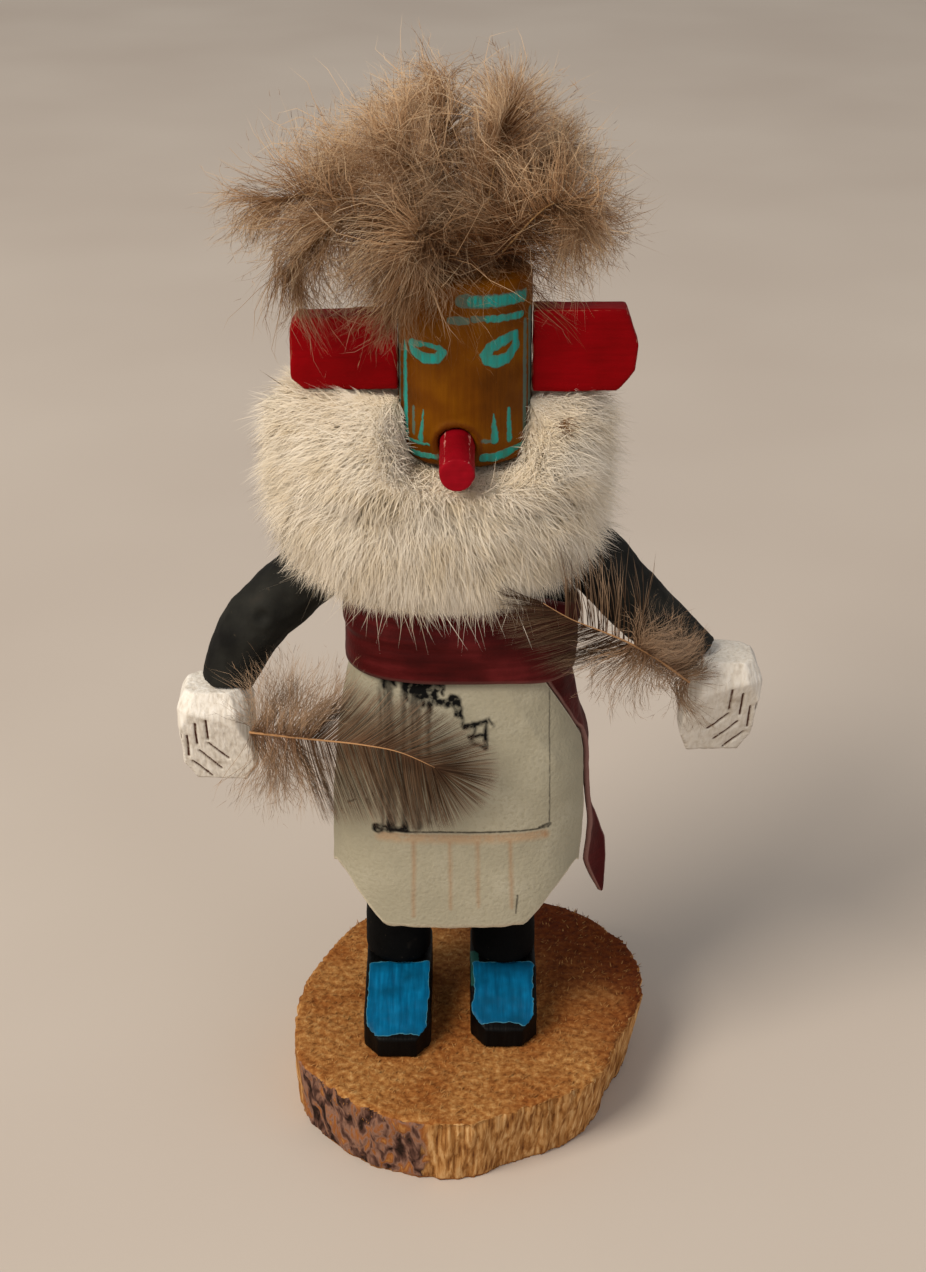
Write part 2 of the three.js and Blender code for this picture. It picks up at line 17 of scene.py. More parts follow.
import bpy
import numpy as np
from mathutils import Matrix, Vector


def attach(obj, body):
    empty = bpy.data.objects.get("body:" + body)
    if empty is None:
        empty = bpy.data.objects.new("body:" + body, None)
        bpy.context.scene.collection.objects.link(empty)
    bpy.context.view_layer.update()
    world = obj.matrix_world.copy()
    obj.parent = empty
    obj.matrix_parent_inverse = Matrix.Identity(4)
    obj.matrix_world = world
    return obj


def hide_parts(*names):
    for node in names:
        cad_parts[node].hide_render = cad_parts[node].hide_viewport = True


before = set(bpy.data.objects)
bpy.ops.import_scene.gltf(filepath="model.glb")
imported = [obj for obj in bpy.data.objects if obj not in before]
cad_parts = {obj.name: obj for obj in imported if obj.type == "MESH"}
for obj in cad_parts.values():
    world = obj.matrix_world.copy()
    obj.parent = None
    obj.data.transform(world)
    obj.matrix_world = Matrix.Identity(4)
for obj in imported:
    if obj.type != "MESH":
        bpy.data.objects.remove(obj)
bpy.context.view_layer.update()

LOG = logging.getLogger("kachina")
MM = 0.001
BODY = "root"

Point = Sequence[float]
Shift = Callable[[np.ndarray, np.ndarray], np.ndarray]
NodeMaker = Callable[..., bpy.types.Node]


class Slot(Enum):
    """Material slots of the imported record."""

    SAWN_WOOD = "sawn_wood"
    BLACK_PAINT = "black_paint"
    BOOT_PAINT = "boot_paint"
    WHITE_PAINT = "white_paint"
    OCHRE_PAINT = "ochre_paint"
    RED_PAINT = "red_paint"
    CREAM_LEATHER = "cream_leather"
    MAROON_LEATHER = "maroon_leather"
    RABBIT_FUR = "rabbit_fur"
    DOWN_FEATHER = "down_feather"


class Side(Enum):
    """The figure's own right and left, as the sign of x."""

    RIGHT = -1
    LEFT = 1

    @property
    def word(self) -> str:
        """The side's name in lower case, as the nodes use it."""
        return self.name.lower()


# ------------------------------------------------------------------------------ number helpers


def smooth(value: np.ndarray, low: float, high: float) -> np.ndarray:
    """Rises smoothly from 0 at low to 1 at high."""
    share = np.clip((value - low) / (high - low), 0.0, 1.0)
    return share * share * (3.0 - 2.0 * share)


def unit(vectors: np.ndarray) -> np.ndarray:
    """The vectors at length 1."""
    length = np.linalg.norm(vectors, axis=-1, keepdims=True)
    return vectors / np.maximum(length, 1e-12)


def lattice(cells: np.ndarray, seed: int) -> np.ndarray:
    """Gives each whole-number cell its own steady value.

    Args:
        cells: Whole numbers, with x, y and z along the last axis.
        seed: Picks another set of values.

    Returns:
        A value from -1 to 1 for each cell.
    """
    mixed = cells[..., 0] * 73856093 ^ cells[..., 1] * 19349663 ^ cells[..., 2] * 83492791
    mixed = mixed ^ (seed * 2654435761 + 97)
    mixed = (mixed ^ (mixed >> 13)) * 1274126177
    mixed = mixed ^ (mixed >> 16)
    return (mixed & 0xFFFF) / 32767.5 - 1.0


def value_noise(points: np.ndarray, size: float | Point, seed: int = 0) -> np.ndarray:
    """Smooth noise in space, with no repeats that show.

    Args:
        points: Places in metres, with x, y and z along the last axis.
        size: Width of a lump in millimetres, one number or one for each axis.
        seed: Picks another field.

    Returns:
        A value from about -1 to 1 at each place.
    """
    grid = points / (np.asarray(size, float) * MM)
    cell = np.floor(grid).astype(np.int64)
    part = grid - cell
    part = part * part * (3.0 - 2.0 * part)
    total = np.zeros(points.shape[:-1])
    for corner in np.ndindex(2, 2, 2):
        pull = np.where(np.array(corner, bool), part, 1.0 - part).prod(axis=-1)
        total += pull * lattice(cell + np.array(corner), seed)
    return total


def drift(points: np.ndarray, size: float, seed: int) -> np.ndarray:
    """A smooth random vector at each place, for hair that wanders together."""
    return np.stack([value_noise(points, size, seed + k) for k in range(3)], axis=-1)


def read_rise(table: Sequence[Point], height: np.ndarray) -> list[np.ndarray]:
    """Reads each column of a table of [height, value, ...] rows at any heights."""
    rows = np.array(table, float)
    return [np.interp(height, rows[:, 0], column) for column in rows[:, 1:].T]


def oval(turn: np.ndarray, half_x: np.ndarray, half_y: np.ndarray, power: Any) -> np.ndarray:
    """Points of a boxy oval.

    Args:
        turn: Angles from +X.
        half_x: Half width.
        half_y: Half depth.
        power: Squareness, where 2 is an ellipse.

    Returns:
        x and y along the last axis.
    """
    c, s = np.cos(turn), np.sin(turn)
    x = half_x * np.sign(c) * np.abs(c) ** (2.0 / power)
    y = half_y * np.sign(s) * np.abs(s) ** (2.0 / power)
    return np.stack(np.broadcast_arrays(x, y), axis=-1)


def spline(rows: Sequence[Point], share: np.ndarray) -> np.ndarray:
    """Centripetal Catmull-Rom curve through the rows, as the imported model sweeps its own.

    Args:
        rows: Points that the curve passes through.
        share: Places along it, from 0 to 1.

    Returns:
        One point for each place.
    """
    points = np.array(rows, float)
    points = np.vstack([2 * points[0] - points[1], points, 2 * points[-1] - points[-2]])
    spans = len(rows) - 1
    place = np.clip(np.asarray(share, float), 0, 1) * spans
    low = np.minimum(place.astype(int), spans - 1)
    t = (place - low)[..., None]
    a, b, c, d = (points[low + k] for k in range(4))
    gap = [np.maximum(np.linalg.norm(q - p, axis=-1, keepdims=True), 1e-9) ** 0.5
           for p, q in ((a, b), (b, c), (c, d))]
    start = (b - a) / gap[0] - (c - a) / (gap[0] + gap[1]) + (c - b) / gap[1]
    end = (c - b) / gap[1] - (d - b) / (gap[1] + gap[2]) + (d - c) / gap[2]
    start, end = start * gap[1], end * gap[1]
    return (b + start * t + (-3 * b + 3 * c - 2 * start - end) * t ** 2
            + (2 * b - 2 * c + start + end) * t ** 3)


def segment_distance(points: np.ndarray, start: Point, end: Point) -> np.ndarray:
    """Distance of each point from a straight line piece, all in the same unit."""
    a, b = np.array(start, float), np.array(end, float)
    share = np.clip((points - a) @ (b - a) / ((b - a) @ (b - a)), 0, 1)[..., None]
    return np.linalg.norm(points - a - share * (b - a), axis=-1)


# ------------------------------------------------------------------------------ object helpers


def take_up(piece: bpy.types.Object) -> None:
    """Makes one object the only selected one, and active."""
    bpy.ops.object.select_all(action="DESELECT")
    piece.select_set(True)
    bpy.context.view_layer.objects.active = piece


def apply_modifier(piece: bpy.types.Object, kind: str, **settings: Any) -> None:
    """Adds a modifier with its settings and applies it at once."""
    take_up(piece)
    made = piece.modifiers.new(kind.title(), kind)
    for name, value in settings.items():
        setattr(made, name, value)
    bpy.ops.object.modifier_apply(modifier=made.name)


def vertex_places(mesh: bpy.types.Mesh) -> np.ndarray:
    """All vertex places of a mesh as rows."""
    flat = np.empty(len(mesh.vertices) * 3, np.float32)
    mesh.vertices.foreach_get("co", flat)
    return flat.reshape(-1, 3).astype(float)


def vertex_normals(mesh: bpy.types.Mesh) -> np.ndarray:
    """All vertex normals of a mesh as rows."""
    flat = np.empty(len(mesh.vertices) * 3, np.float32)
    mesh.vertex_normals.foreach_get("vector", flat)
    return flat.reshape(-1, 3).astype(float)


def put_places(mesh: bpy.types.Mesh, places: np.ndarray) -> None:
    """Moves all vertices of a mesh."""
    mesh.vertices.foreach_set("co", places.astype(np.float32).ravel())
    mesh.update()


def note(mesh: bpy.types.Mesh, name: str, values: np.ndarray) -> None:
    """Keeps one number per vertex on a mesh, for its material to read."""
    made = mesh.attributes.get(name) or mesh.attributes.new(name, "FLOAT", "POINT")
    made.data.foreach_set("value", np.asarray(values, np.float32).ravel())


def new_mesh(name: str, places: np.ndarray, faces: Sequence[np.ndarray]) -> bpy.types.Object:
    """Makes an object from arrays, for what is too fine or too many to model by hand.

    Args:
        name: The object's name.
        places: Vertex places in metres, as rows.
        faces: Arrays of faces, each with one number of corners.

    Returns:
        The object, linked to the scene.
    """
    mesh = bpy.data.meshes.new(name)
    mesh.vertices.add(len(places))
    mesh.vertices.foreach_set("co", np.asarray(places, np.float32).ravel())
    corners = np.concatenate([face.ravel() for face in faces])
    counts = np.concatenate([np.full(len(face), face.shape[1]) for face in faces])
    mesh.loops.add(len(corners))
    mesh.loops.foreach_set("vertex_index", corners.astype(np.int32))
    mesh.polygons.add(len(counts))
    mesh.polygons.foreach_set("loop_start", (np.cumsum(counts) - counts).astype(np.int32))
    mesh.update(calc_edges=True)
    mesh.validate()
    mesh.shade_smooth()
    piece = bpy.data.objects.new(name, mesh)
    bpy.context.scene.collection.objects.link(piece)
    return piece


def grid_faces(columns: int, rows: int) -> np.ndarray:
    """Quads of a sheet of columns by rows points, kept column by column."""
    i, j = np.meshgrid(np.arange(columns - 1), np.arange(rows - 1), indexing="ij")
    corner = (i * rows + j).ravel()
    return np.stack([corner, corner + rows, corner + rows + 1, corner + 1], axis=1)


def join(pieces: Sequence[bpy.types.Object]) -> bpy.types.Object:
    """Joins objects into the first one."""
    take_up(pieces[0])
    for piece in pieces[1:]:
        piece.select_set(True)
    bpy.ops.object.join()
    return pieces[0]


def carved_copy(node: str, name: str, voxel: float, relax: int = 2) -> bpy.types.Object:
    """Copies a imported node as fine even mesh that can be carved.

    Args:
        node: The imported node's name.
        name: The new piece's name.
        voxel: Size of the new faces in millimetres.
        relax: Rounds of smoothing that take off the remesh's steps.

    Returns:
        The new object.
    """
    piece = bpy.data.objects.new(name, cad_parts[node].data.copy())
    bpy.context.scene.collection.objects.link(piece)
    take_up(piece)
    bpy.ops.object.mode_set(mode="EDIT")
    bpy.ops.mesh.select_all(action="SELECT")
    bpy.ops.mesh.remove_doubles(threshold=1e-6)
    bpy.ops.object.mode_set(mode="OBJECT")
    apply_modifier(piece, "REMESH", mode="VOXEL", voxel_size=voxel * MM, use_smooth_shade=True)
    if relax:
        apply_modifier(piece, "SMOOTH", factor=0.5, iterations=relax)
    return piece


def carve(piece: bpy.types.Object, shift: Shift) -> None:
    """Moves each vertex along its normal.

    Args:
        piece: The mesh to carve.
        shift: From places and normals, how far out each vertex goes in millimetres.
    """
    places, normals = vertex_places(piece.data), vertex_normals(piece.data)
    put_places(piece.data, places + normals * (shift(places, normals) * MM)[:, None])


def install(piece: bpy.types.Object, finish: "Finish", slot: Slot, *nodes: str) -> None:
    """Dresses a piece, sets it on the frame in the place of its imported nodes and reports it."""
    piece.data.materials.clear()
    piece.data.materials.append(finish.material())
    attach(piece, BODY)
    if nodes:
        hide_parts(*nodes)
    triangles = sum(len(face.vertices) - 2 for face in piece.data.polygons)
    LOG.info("%s: %d triangles for %s", piece.name, triangles, ", ".join(nodes) or "detail")


# ------------------------------------------------------------------------------ strands


@dataclass
class Strands:
    """Hairs, barbs or splinters, kept as rows of points with a width at each."""

    points: np.ndarray
    widths: np.ndarray
    facing: np.ndarray
    tone: np.ndarray

    def mesh(self, name: str) -> bpy.types.Object:
        """Makes one ribbon for each strand, closed to a point and lit by its facing alone."""
        count, rows = self.points.shape[:2]
        along = unit(np.gradient(self.points, axis=1))
        side = unit(np.cross(along, self.facing[:, None, :]))
        half = side * self.widths[..., None] / 2
        body = np.stack([self.points - half, self.points + half], axis=2)[:, :-1]
        places = np.concatenate([body.reshape(count, -1, 3), self.points[:, -1:]], axis=1)
        each = 2 * (rows - 1) + 1
        first = np.arange(count)[:, None] * each
        steps = 2 * np.arange(rows - 2)[None, :]
        quads = np.stack([first + steps, first + steps + 1, first + steps + 3,
                          first + steps + 2], axis=-1).reshape(-1, 4)
        tips = np.concatenate([first + each - 3, first + each - 2, first + each - 1], axis=1)
        piece = new_mesh(name, places.reshape(-1, 3), [quads, tips])
        share = np.repeat(np.linspace(0, 1, rows)[:-1], 2)
        share = np.append(share, 1.0)
        note(piece.data, "along", np.tile(share, count))
        note(piece.data, "tone", np.repeat(self.tone, each))
        note(piece.data, "quill", np.repeat(self.tone < 0, each))
        piece.data.normals_split_custom_set_from_vertices(np.repeat(self.facing, each, axis=0))
        return piece


# ------------------------------------------------------------------------------ finishes


def linear(code: str, alpha: float = 1.0) -> tuple[float, float, float, float]:
    """Turns an sRGB hex colour to linear light."""
    parts = [int(code[k:k + 2], 16) / 255 for k in (1, 3, 5)]
    light = [p / 12.92 if p <= 0.04045 else ((p + 0.055) / 1.055) ** 2.4 for p in parts]
    return (light[0], light[1], light[2], alpha)


def add_node(tree: bpy.types.NodeTree, kind: str, feeds: dict[Any, Any] | None = None,
             stops: Sequence[tuple[float, str]] = (), **settings: Any) -> bpy.types.Node:
    """Adds one shader node.

    Args:
        tree: The material's node tree.
        kind: The node's type, without "ShaderNode" before it.
        feeds: For each input, by name or by number among those in use, a value, an sRGB hex
            colour, a node or a socket.
        stops: Places and sRGB hex colours of a colour ramp.
        settings: The node's own settings.

    Returns:
        The new node.
    """
    node = tree.nodes.new("ShaderNode" + kind)
    for name, value in settings.items():
        setattr(node, name, value)
    if stops:
        ramp = node.color_ramp
        while len(ramp.elements) < len(stops):
            ramp.elements.new(0.5)
        for element, (place, code) in zip(ramp.elements, stops):
            element.position, element.color = place, linear(code)
    used = [socket for socket in node.inputs if socket.enabled]
    for key, feed in (feeds or {}).items():
        socket = used[key] if isinstance(key, int) else next(s for s in used if s.name == key)
        if isinstance(feed, str):
            feed = linear(feed)
        if isinstance(feed, bpy.types.Node):
            feed = next(out for out in feed.outputs if out.enabled)
        if isinstance(feed, bpy.types.NodeSocket):
            tree.links.new(feed, socket)
        else:
            socket.default_value = feed
    return node


@dataclass(frozen=True)
class Stroke:
    """One brush stroke or cut, from start to end, as points and half widths in millimetres."""

    start: Point
    end: Point
    wide: float
    narrow: float | None = None

    def distance(self, node: NodeMaker, place: Any) -> bpy.types.Node:
        """Adds the nodes that give a place's distance from the stroke's edge, less than 0 inside.

        Args:
            node: Adds a node to the material.
            place: Socket or node with the place in millimetres.

        Returns:
            The node whose value is the distance.
        """
        a, b = Vector(self.start).to_3d(), Vector(self.end).to_3d()
        span = b - a
        taper = (self.wide if self.narrow is None else self.narrow) - self.wide
        offset = node("VectorMath", {0: place, 1: a}, operation="SUBTRACT")
        raw = node("VectorMath", {0: offset, 1: span / span.length_squared},
                   operation="DOT_PRODUCT")
        share = node("Math", {0: raw.outputs["Value"], 1: 0.0}, operation="ADD",
                     use_clamp=True)
        foot = node("VectorMath", {0: span, "Scale": share}, operation="SCALE")
        away = node("VectorMath", {0: offset, 1: foot}, operation="DISTANCE")
        reach = node("Math", {0: share, 1: -taper, 2: away.outputs["Value"]},
                     operation="MULTIPLY_ADD")
        return node("Math", {0: reach, 1: self.wide}, operation="SUBTRACT")


def brushed(*rows: Sequence[float]) -> tuple[Stroke, ...]:
    """Strokes from rows of start x and y, end x and y, and one or two half widths."""
    return tuple(Stroke(row[0:2], row[2:4], *row[4:]) for row in rows)


def strokes_distance(node: NodeMaker, place: Any, marks: Sequence[Stroke]) -> bpy.types.Node:
    """Distance from the nearest edge of a set of strokes, in millimetres."""
    nearest = marks[0].distance(node, place)
    for stroke in marks[1:]:
        nearest = node("Math", {0: nearest, 1: stroke.distance(node, place)},
                       operation="MINIMUM")
    return nearest


def per_lump(size: float, *stretch: float) -> Any:
    """Pattern scale that gives lumps of a real size.

    Args:
        size: Width of a lump in millimetres.
        stretch: How many times longer it is along x, y and z, for a Mapping node.

    Returns:
        One number, or three where stretch is given.
    """
    scale = 1.0 / (size * MM)
    return [scale / times for times in stretch] if stretch else scale


@dataclass(frozen=True)
class Finish:
    """A surface finish. Each kind dresses a Principled shader in its own way."""

    name: str
    roughness: float = 0.8
    gloss: float = 0.15

    def material(self) -> bpy.types.Material:
        """Makes the material."""
        made = bpy.data.materials.new(self.name)
        made.use_nodes = True
        made.node_tree.nodes.clear()
        node = partial(add_node, made.node_tree)
        shader = node("BsdfPrincipled", {"Roughness": self.roughness,
                                          "Specular IOR Level": self.gloss})
        node("OutputMaterial", {"Surface": shader})
        colour, normal = self.dress(node, node("TexCoord").outputs["Object"])
        made.node_tree.links.new(colour.outputs[self.result(colour)], shader.inputs["Base Color"])
        if normal:
            made.node_tree.links.new(normal.outputs[0], shader.inputs["Normal"])
        return made

    @staticmethod
    def result(node: bpy.types.Node) -> int:
        """Number of a node's first output in use."""
        return next(k for k, out in enumerate(node.outputs) if out.enabled)

    def dress(self, node: NodeMaker,
              place: Any) -> tuple[bpy.types.Node, bpy.types.Node | None]:
        """Builds the pattern.

        Args:
            node: Adds a node to this material.
            place: Socket with Object coordinates in metres.

        Returns:
            The nodes for base colour and for normal.
        """
        raise NotImplementedError


@dataclass(frozen=True)
class SawnJuniper(Finish):
    """Branch slice cut with a coarse saw: torn end grain, split sides and rags of bark."""

    name: str = "rough_sawn_juniper"
    roughness: float = 0.9

    def dress(self, node: NodeMaker,
              place: Any) -> tuple[bpy.types.Node, bpy.types.Node | None]:
        """Torn fibre specks on top, streaks along the grain on the side, flaking bark."""
        torn = node("TexNoise", {"Vector": place, "Scale": per_lump(1.5), "Detail": 5.0,
                                 "Roughness": 0.65})
        cloud = node("TexNoise", {"Vector": place, "Scale": per_lump(16), "Detail": 2.0})
        top = node("ValToRGB", {0: torn}, stops=[
            (0.28, "#6b3f1a"), (0.43, "#96612f"), (0.56, "#b07d45"), (0.74, "#d3a970")])
        warmth = node("MapRange", {0: cloud, 1: 0.35, 2: 0.65}, interpolation_type="SMOOTHSTEP")
        shade = node("Mix", {0: warmth, 1: "#d8b58f", 2: "#ffffff"}, data_type="RGBA")
        top = node("Mix", {0: 0.75, 1: top, 2: shade}, data_type="RGBA", blend_type="MULTIPLY")
        # Darker heartwood and painted shade, deepest towards the back left of the top.
        heartwood_and_shade = node("Attribute", attribute_name="heartwood_and_shade").outputs["Fac"]
        top = node("Mix", {0: heartwood_and_shade, 1: top, 2: "#a87850"}, data_type="RGBA",
                   blend_type="MULTIPLY")
        drawn = node("Mapping", {"Vector": place, "Scale": per_lump(0.9, 1, 1, 16)})
        streak = node("TexNoise", {"Vector": drawn, "Scale": 1.0, "Detail": 4.0})
        flank = node("ValToRGB", {0: streak}, stops=[
            (0.3, "#643818"), (0.45, "#9c6a36"), (0.58, "#bf8f58"), (0.75, "#e0ba84")])
        flake = node("Mapping", {"Vector": place, "Scale": per_lump(2.6, 1, 1, 2.2)})
        flake = node("TexNoise", {"Vector": flake, "Scale": 1.0, "Detail": 5.0,
                                  "Distortion": 0.6})
        bark = node("ValToRGB", {0: flake}, stops=[
            (0.36, "#24150e"), (0.45, "#5a3d33"), (0.54, "#8d6a58"), (0.6, "#8e5427"),
            (0.75, "#c08a4e")])
        worn = node("Attribute", attribute_name="bark").outputs["Fac"]
        patch = node("Math", {0: flake, 1: 0.9, 2: worn}, operation="MULTIPLY_ADD")
        patch = node("MapRange", {0: patch, 1: 0.88, 2: 1.05})
        flank = node("Mix", {0: patch, 1: flank, 2: bark}, data_type="RGBA")
        ends = node("Attribute", attribute_name="ends").outputs["Fac"]
        ends = node("Math", {0: torn, 1: 0.7, 2: ends}, operation="MULTIPLY_ADD")
        ends = node("MapRange", {0: ends, 1: 0.75, 2: 0.95})
        colour = node("Mix", {0: ends, 1: flank, 2: top}, data_type="RGBA")
        tone = node("Attribute", attribute_name="tone").outputs["Fac"]
        colour = node("Mix", {0: tone, 1: colour, 2: "#c08c52"}, data_type="RGBA")
        height = node("Mix", {0: ends, 1: streak, 2: torn}, data_type="FLOAT")
        return colour, node("Bump", {"Height": height, "Distance": 0.5 * MM, "Strength": 0.8})


@dataclass(frozen=True)
class BlackPaint(Finish):
    """Thin matt black poster paint on carved root, worn brown along ridges."""

    name: str = "matt_black_paint"
    roughness: float = 0.72
    lit: str = "#262622"
    deep: str = "#0d0d0c"
    glue: bool = False

    def dress(self, node: NodeMaker,
              place: Any) -> tuple[bpy.types.Node, bpy.types.Node | None]:
        """Brushed clouds of black, a few rubbed spots and fine grain under the paint."""
        cloud = node("TexNoise", {"Vector": place, "Scale": per_lump(9), "Detail": 4.0})
        colour = node("ValToRGB", {0: cloud}, stops=[
            (0.32, self.deep), (0.66, self.lit), (0.9, "#35302a")])
        speck = node("TexNoise", {"Vector": place, "Scale": per_lump(1.3), "Detail": 3.0})
        rubbed = node("MapRange", {0: speck, 1: 0.7, 2: 0.82})
        colour = node("Mix", {0: rubbed, 1: colour, 2: "#4f4639"}, data_type="RGBA")
        if self.glue:
            wrist = node("Attribute", attribute_name="wrist").outputs["Fac"]
            wrist = node("Math", {0: speck, 1: 0.9, 2: wrist}, operation="MULTIPLY_ADD")
            bare = node("MapRange", {0: wrist, 1: 1.2, 2: 1.3})
            colour = node("Mix", {0: bare, 1: colour, 2: "#8a5528"}, data_type="RGBA")
        height = node("Math", {0: speck, 1: 0.4, 2: cloud}, operation="MULTIPLY_ADD")
        return colour, node("Bump", {"Height": height, "Distance": 0.5 * MM, "Strength": 0.5})


@dataclass(frozen=True)
class BootPaint(Finish):
    """Blue brushed over the instep of a black boot, thin and ragged at its edges."""

    name: str = "brushed_blue_and_black_paint"
    roughness: float = 0.5
    gloss: float = 0.1

    def dress(self, node: NodeMaker,
              place: Any) -> tuple[bpy.types.Node, bpy.types.Node | None]:
        """The blue field comes from the mesh, its brush marks and ragged rim from noise."""
        rag = node("TexNoise", {"Vector": place, "Scale": per_lump(1.2), "Detail": 4.0})
        drawn = node("Mapping", {"Vector": place, "Scale": per_lump(1.1, 1, 9, 9)})
        brush = node("TexNoise", {"Vector": drawn, "Scale": 1.0, "Detail": 4.0})
        cloud = node("TexNoise", {"Vector": place, "Scale": per_lump(6), "Detail": 2.0})
        blue = node("ValToRGB", {0: brush}, stops=[
            (0.3, "#004c72"), (0.5, "#00608c"), (0.7, "#0573a4"), (0.9, "#2b93bb")])
        shade = node("MapRange", {0: cloud, 1: 0.35, 2: 0.7})
        blue = node("Mix", {0: shade, 1: blue, 2: "#014767"}, data_type="RGBA")
        field_ = node("Attribute", attribute_name="blue").outputs["Fac"]
        reach = node("Math", {0: rag, 1: 0.55, 2: field_}, operation="MULTIPLY_ADD")
        thin = node("MapRange", {0: reach, 1: 0.72, 2: 0.8})
        full = node("MapRange", {0: reach, 1: 0.8, 2: 0.98})
        rim = node("Mix", {0: full, 1: "#4a8ba0", 2: blue}, data_type="RGBA")
        black = node("ValToRGB", {0: brush}, stops=[(0.35, "#030303"), (0.75, "#0c0b0a")])
        teal = node("Attribute", attribute_name="teal").outputs["Fac"]
        teal = node("Math", {0: rag, 1: 0.6, 2: teal}, operation="MULTIPLY_ADD")
        teal = node("MapRange", {0: teal, 1: 0.85, 2: 1.05})
        black = node("Mix", {0: teal, 1: black, 2: "#1d4640"}, data_type="RGBA")
        colour = node("Mix", {0: thin, 1: black, 2: rim}, data_type="RGBA")
        height = node("Math", {0: thin, 1: 0.35, 2: brush}, operation="MULTIPLY_ADD")
        return colour, node("Bump", {"Height": height, "Distance": 0.3 * MM, "Strength": 0.7})


@dataclass(frozen=True)
class ChalkWhitePaint(Finish):
    """Chalky white paint with knife cuts that show dark wood where the brush skipped."""

    name: str = "chalky_white_paint"
    roughness: float = 0.82

    def dress(self, node: NodeMaker,
              place: Any) -> tuple[bpy.types.Node, bpy.types.Node | None]:
        """Brush ridges down the block, grey dirt in patches, painted shade along the cuts and
        brown in them.
        """
        drawn = node("Mapping", {"Vector": place, "Scale": per_lump(0.8, 1, 1, 7)})
        brush = node("TexNoise", {"Vector": drawn, "Scale": 1.0, "Detail": 4.0})
        dirt = node("TexNoise", {"Vector": place, "Scale": per_lump(3.4), "Detail": 5.0})
        colour = node("ValToRGB", {0: brush}, stops=[
            (0.26, "#d3cbbe"), (0.5, "#ece7dd"), (0.7, "#f6f3ec")])
        grey = node("MapRange", {0: dirt, 1: 0.56, 2: 0.78})
        colour = node("Mix", {0: grey, 1: colour, 2: "#b3a796"}, data_type="RGBA")
        cut = node("Attribute", attribute_name="cut").outputs["Fac"]
        skip = node("TexNoise", {"Vector": place, "Scale": per_lump(1.6), "Detail": 3.0})
        # Painted shade: the paint is greyed along the knife cuts.
        shade = node("MapRange", {0: cut, 1: 0.15, 2: 0.7})
        colour = node("Mix", {0: shade, 1: colour, 2: "#857766"}, data_type="RGBA")
        bare = node("Math", {0: skip, 1: 0.6, 2: cut}, operation="MULTIPLY_ADD")
        bare = node("MapRange", {0: bare, 1: 0.84, 2: 1.0})
        colour = node("Mix", {0: bare, 1: colour, 2: "#4a1d11"}, data_type="RGBA")
        # Painted shade: grey on faces turned downwards, and on the shaded left fist.
        under = node("Attribute", attribute_name="under").outputs["Fac"]
        colour = node("Mix", {0: under, 1: colour, 2: "#a79d8f"}, data_type="RGBA")
        return colour, node("Bump", {"Height": brush, "Distance": 0.35 * MM, "Strength": 0.8})


@dataclass(frozen=True)
class RedPaint(Finish):
    """Bright red poster paint, brushed on in one coat and rubbed at the cut edges."""

    name: str = "brushed_red_paint"
    roughness: float = 0.55
    gloss: float = 0.06
    light: str = "#8d0008"
    dark: str = "#6f0003"
    wear: str = "#b0705a"

    def dress(self, node: NodeMaker,
              place: Any) -> tuple[bpy.types.Node, bpy.types.Node | None]:
        """Long brush marks across the board, and pale wood where an edge is rubbed."""
        drawn = node("Mapping", {"Vector": place, "Scale": per_lump(1.0, 10, 4, 1)})
        brush = node("TexNoise", {"Vector": drawn, "Scale": 1.0, "Detail": 4.0})
        cloud = node("TexNoise", {"Vector": place, "Scale": per_lump(11), "Detail": 3.0})
        blotch = node("Math", {0: brush, 1: 0.5, 2: cloud}, operation="MULTIPLY_ADD")
        colour = node("ValToRGB", {0: blotch}, stops=[(0.45, self.dark), (1.0, self.light)])
        rag = node("TexNoise", {"Vector": place, "Scale": per_lump(1.4), "Detail": 3.0})
        edge = node("Attribute", attribute_name="edge").outputs["Fac"]
        edge = node("Math", {0: rag, 1: 1.0, 2: edge}, operation="MULTIPLY_ADD")
        rubbed = node("MapRange", {0: edge, 1: 1.3, 2: 1.55})
        colour = node("Mix", {0: rubbed, 1: colour, 2: self.wear}, data_type="RGBA")
        return colour, node("Bump", {"Height": brush, "Distance": 0.2 * MM, "Strength": 0.6})


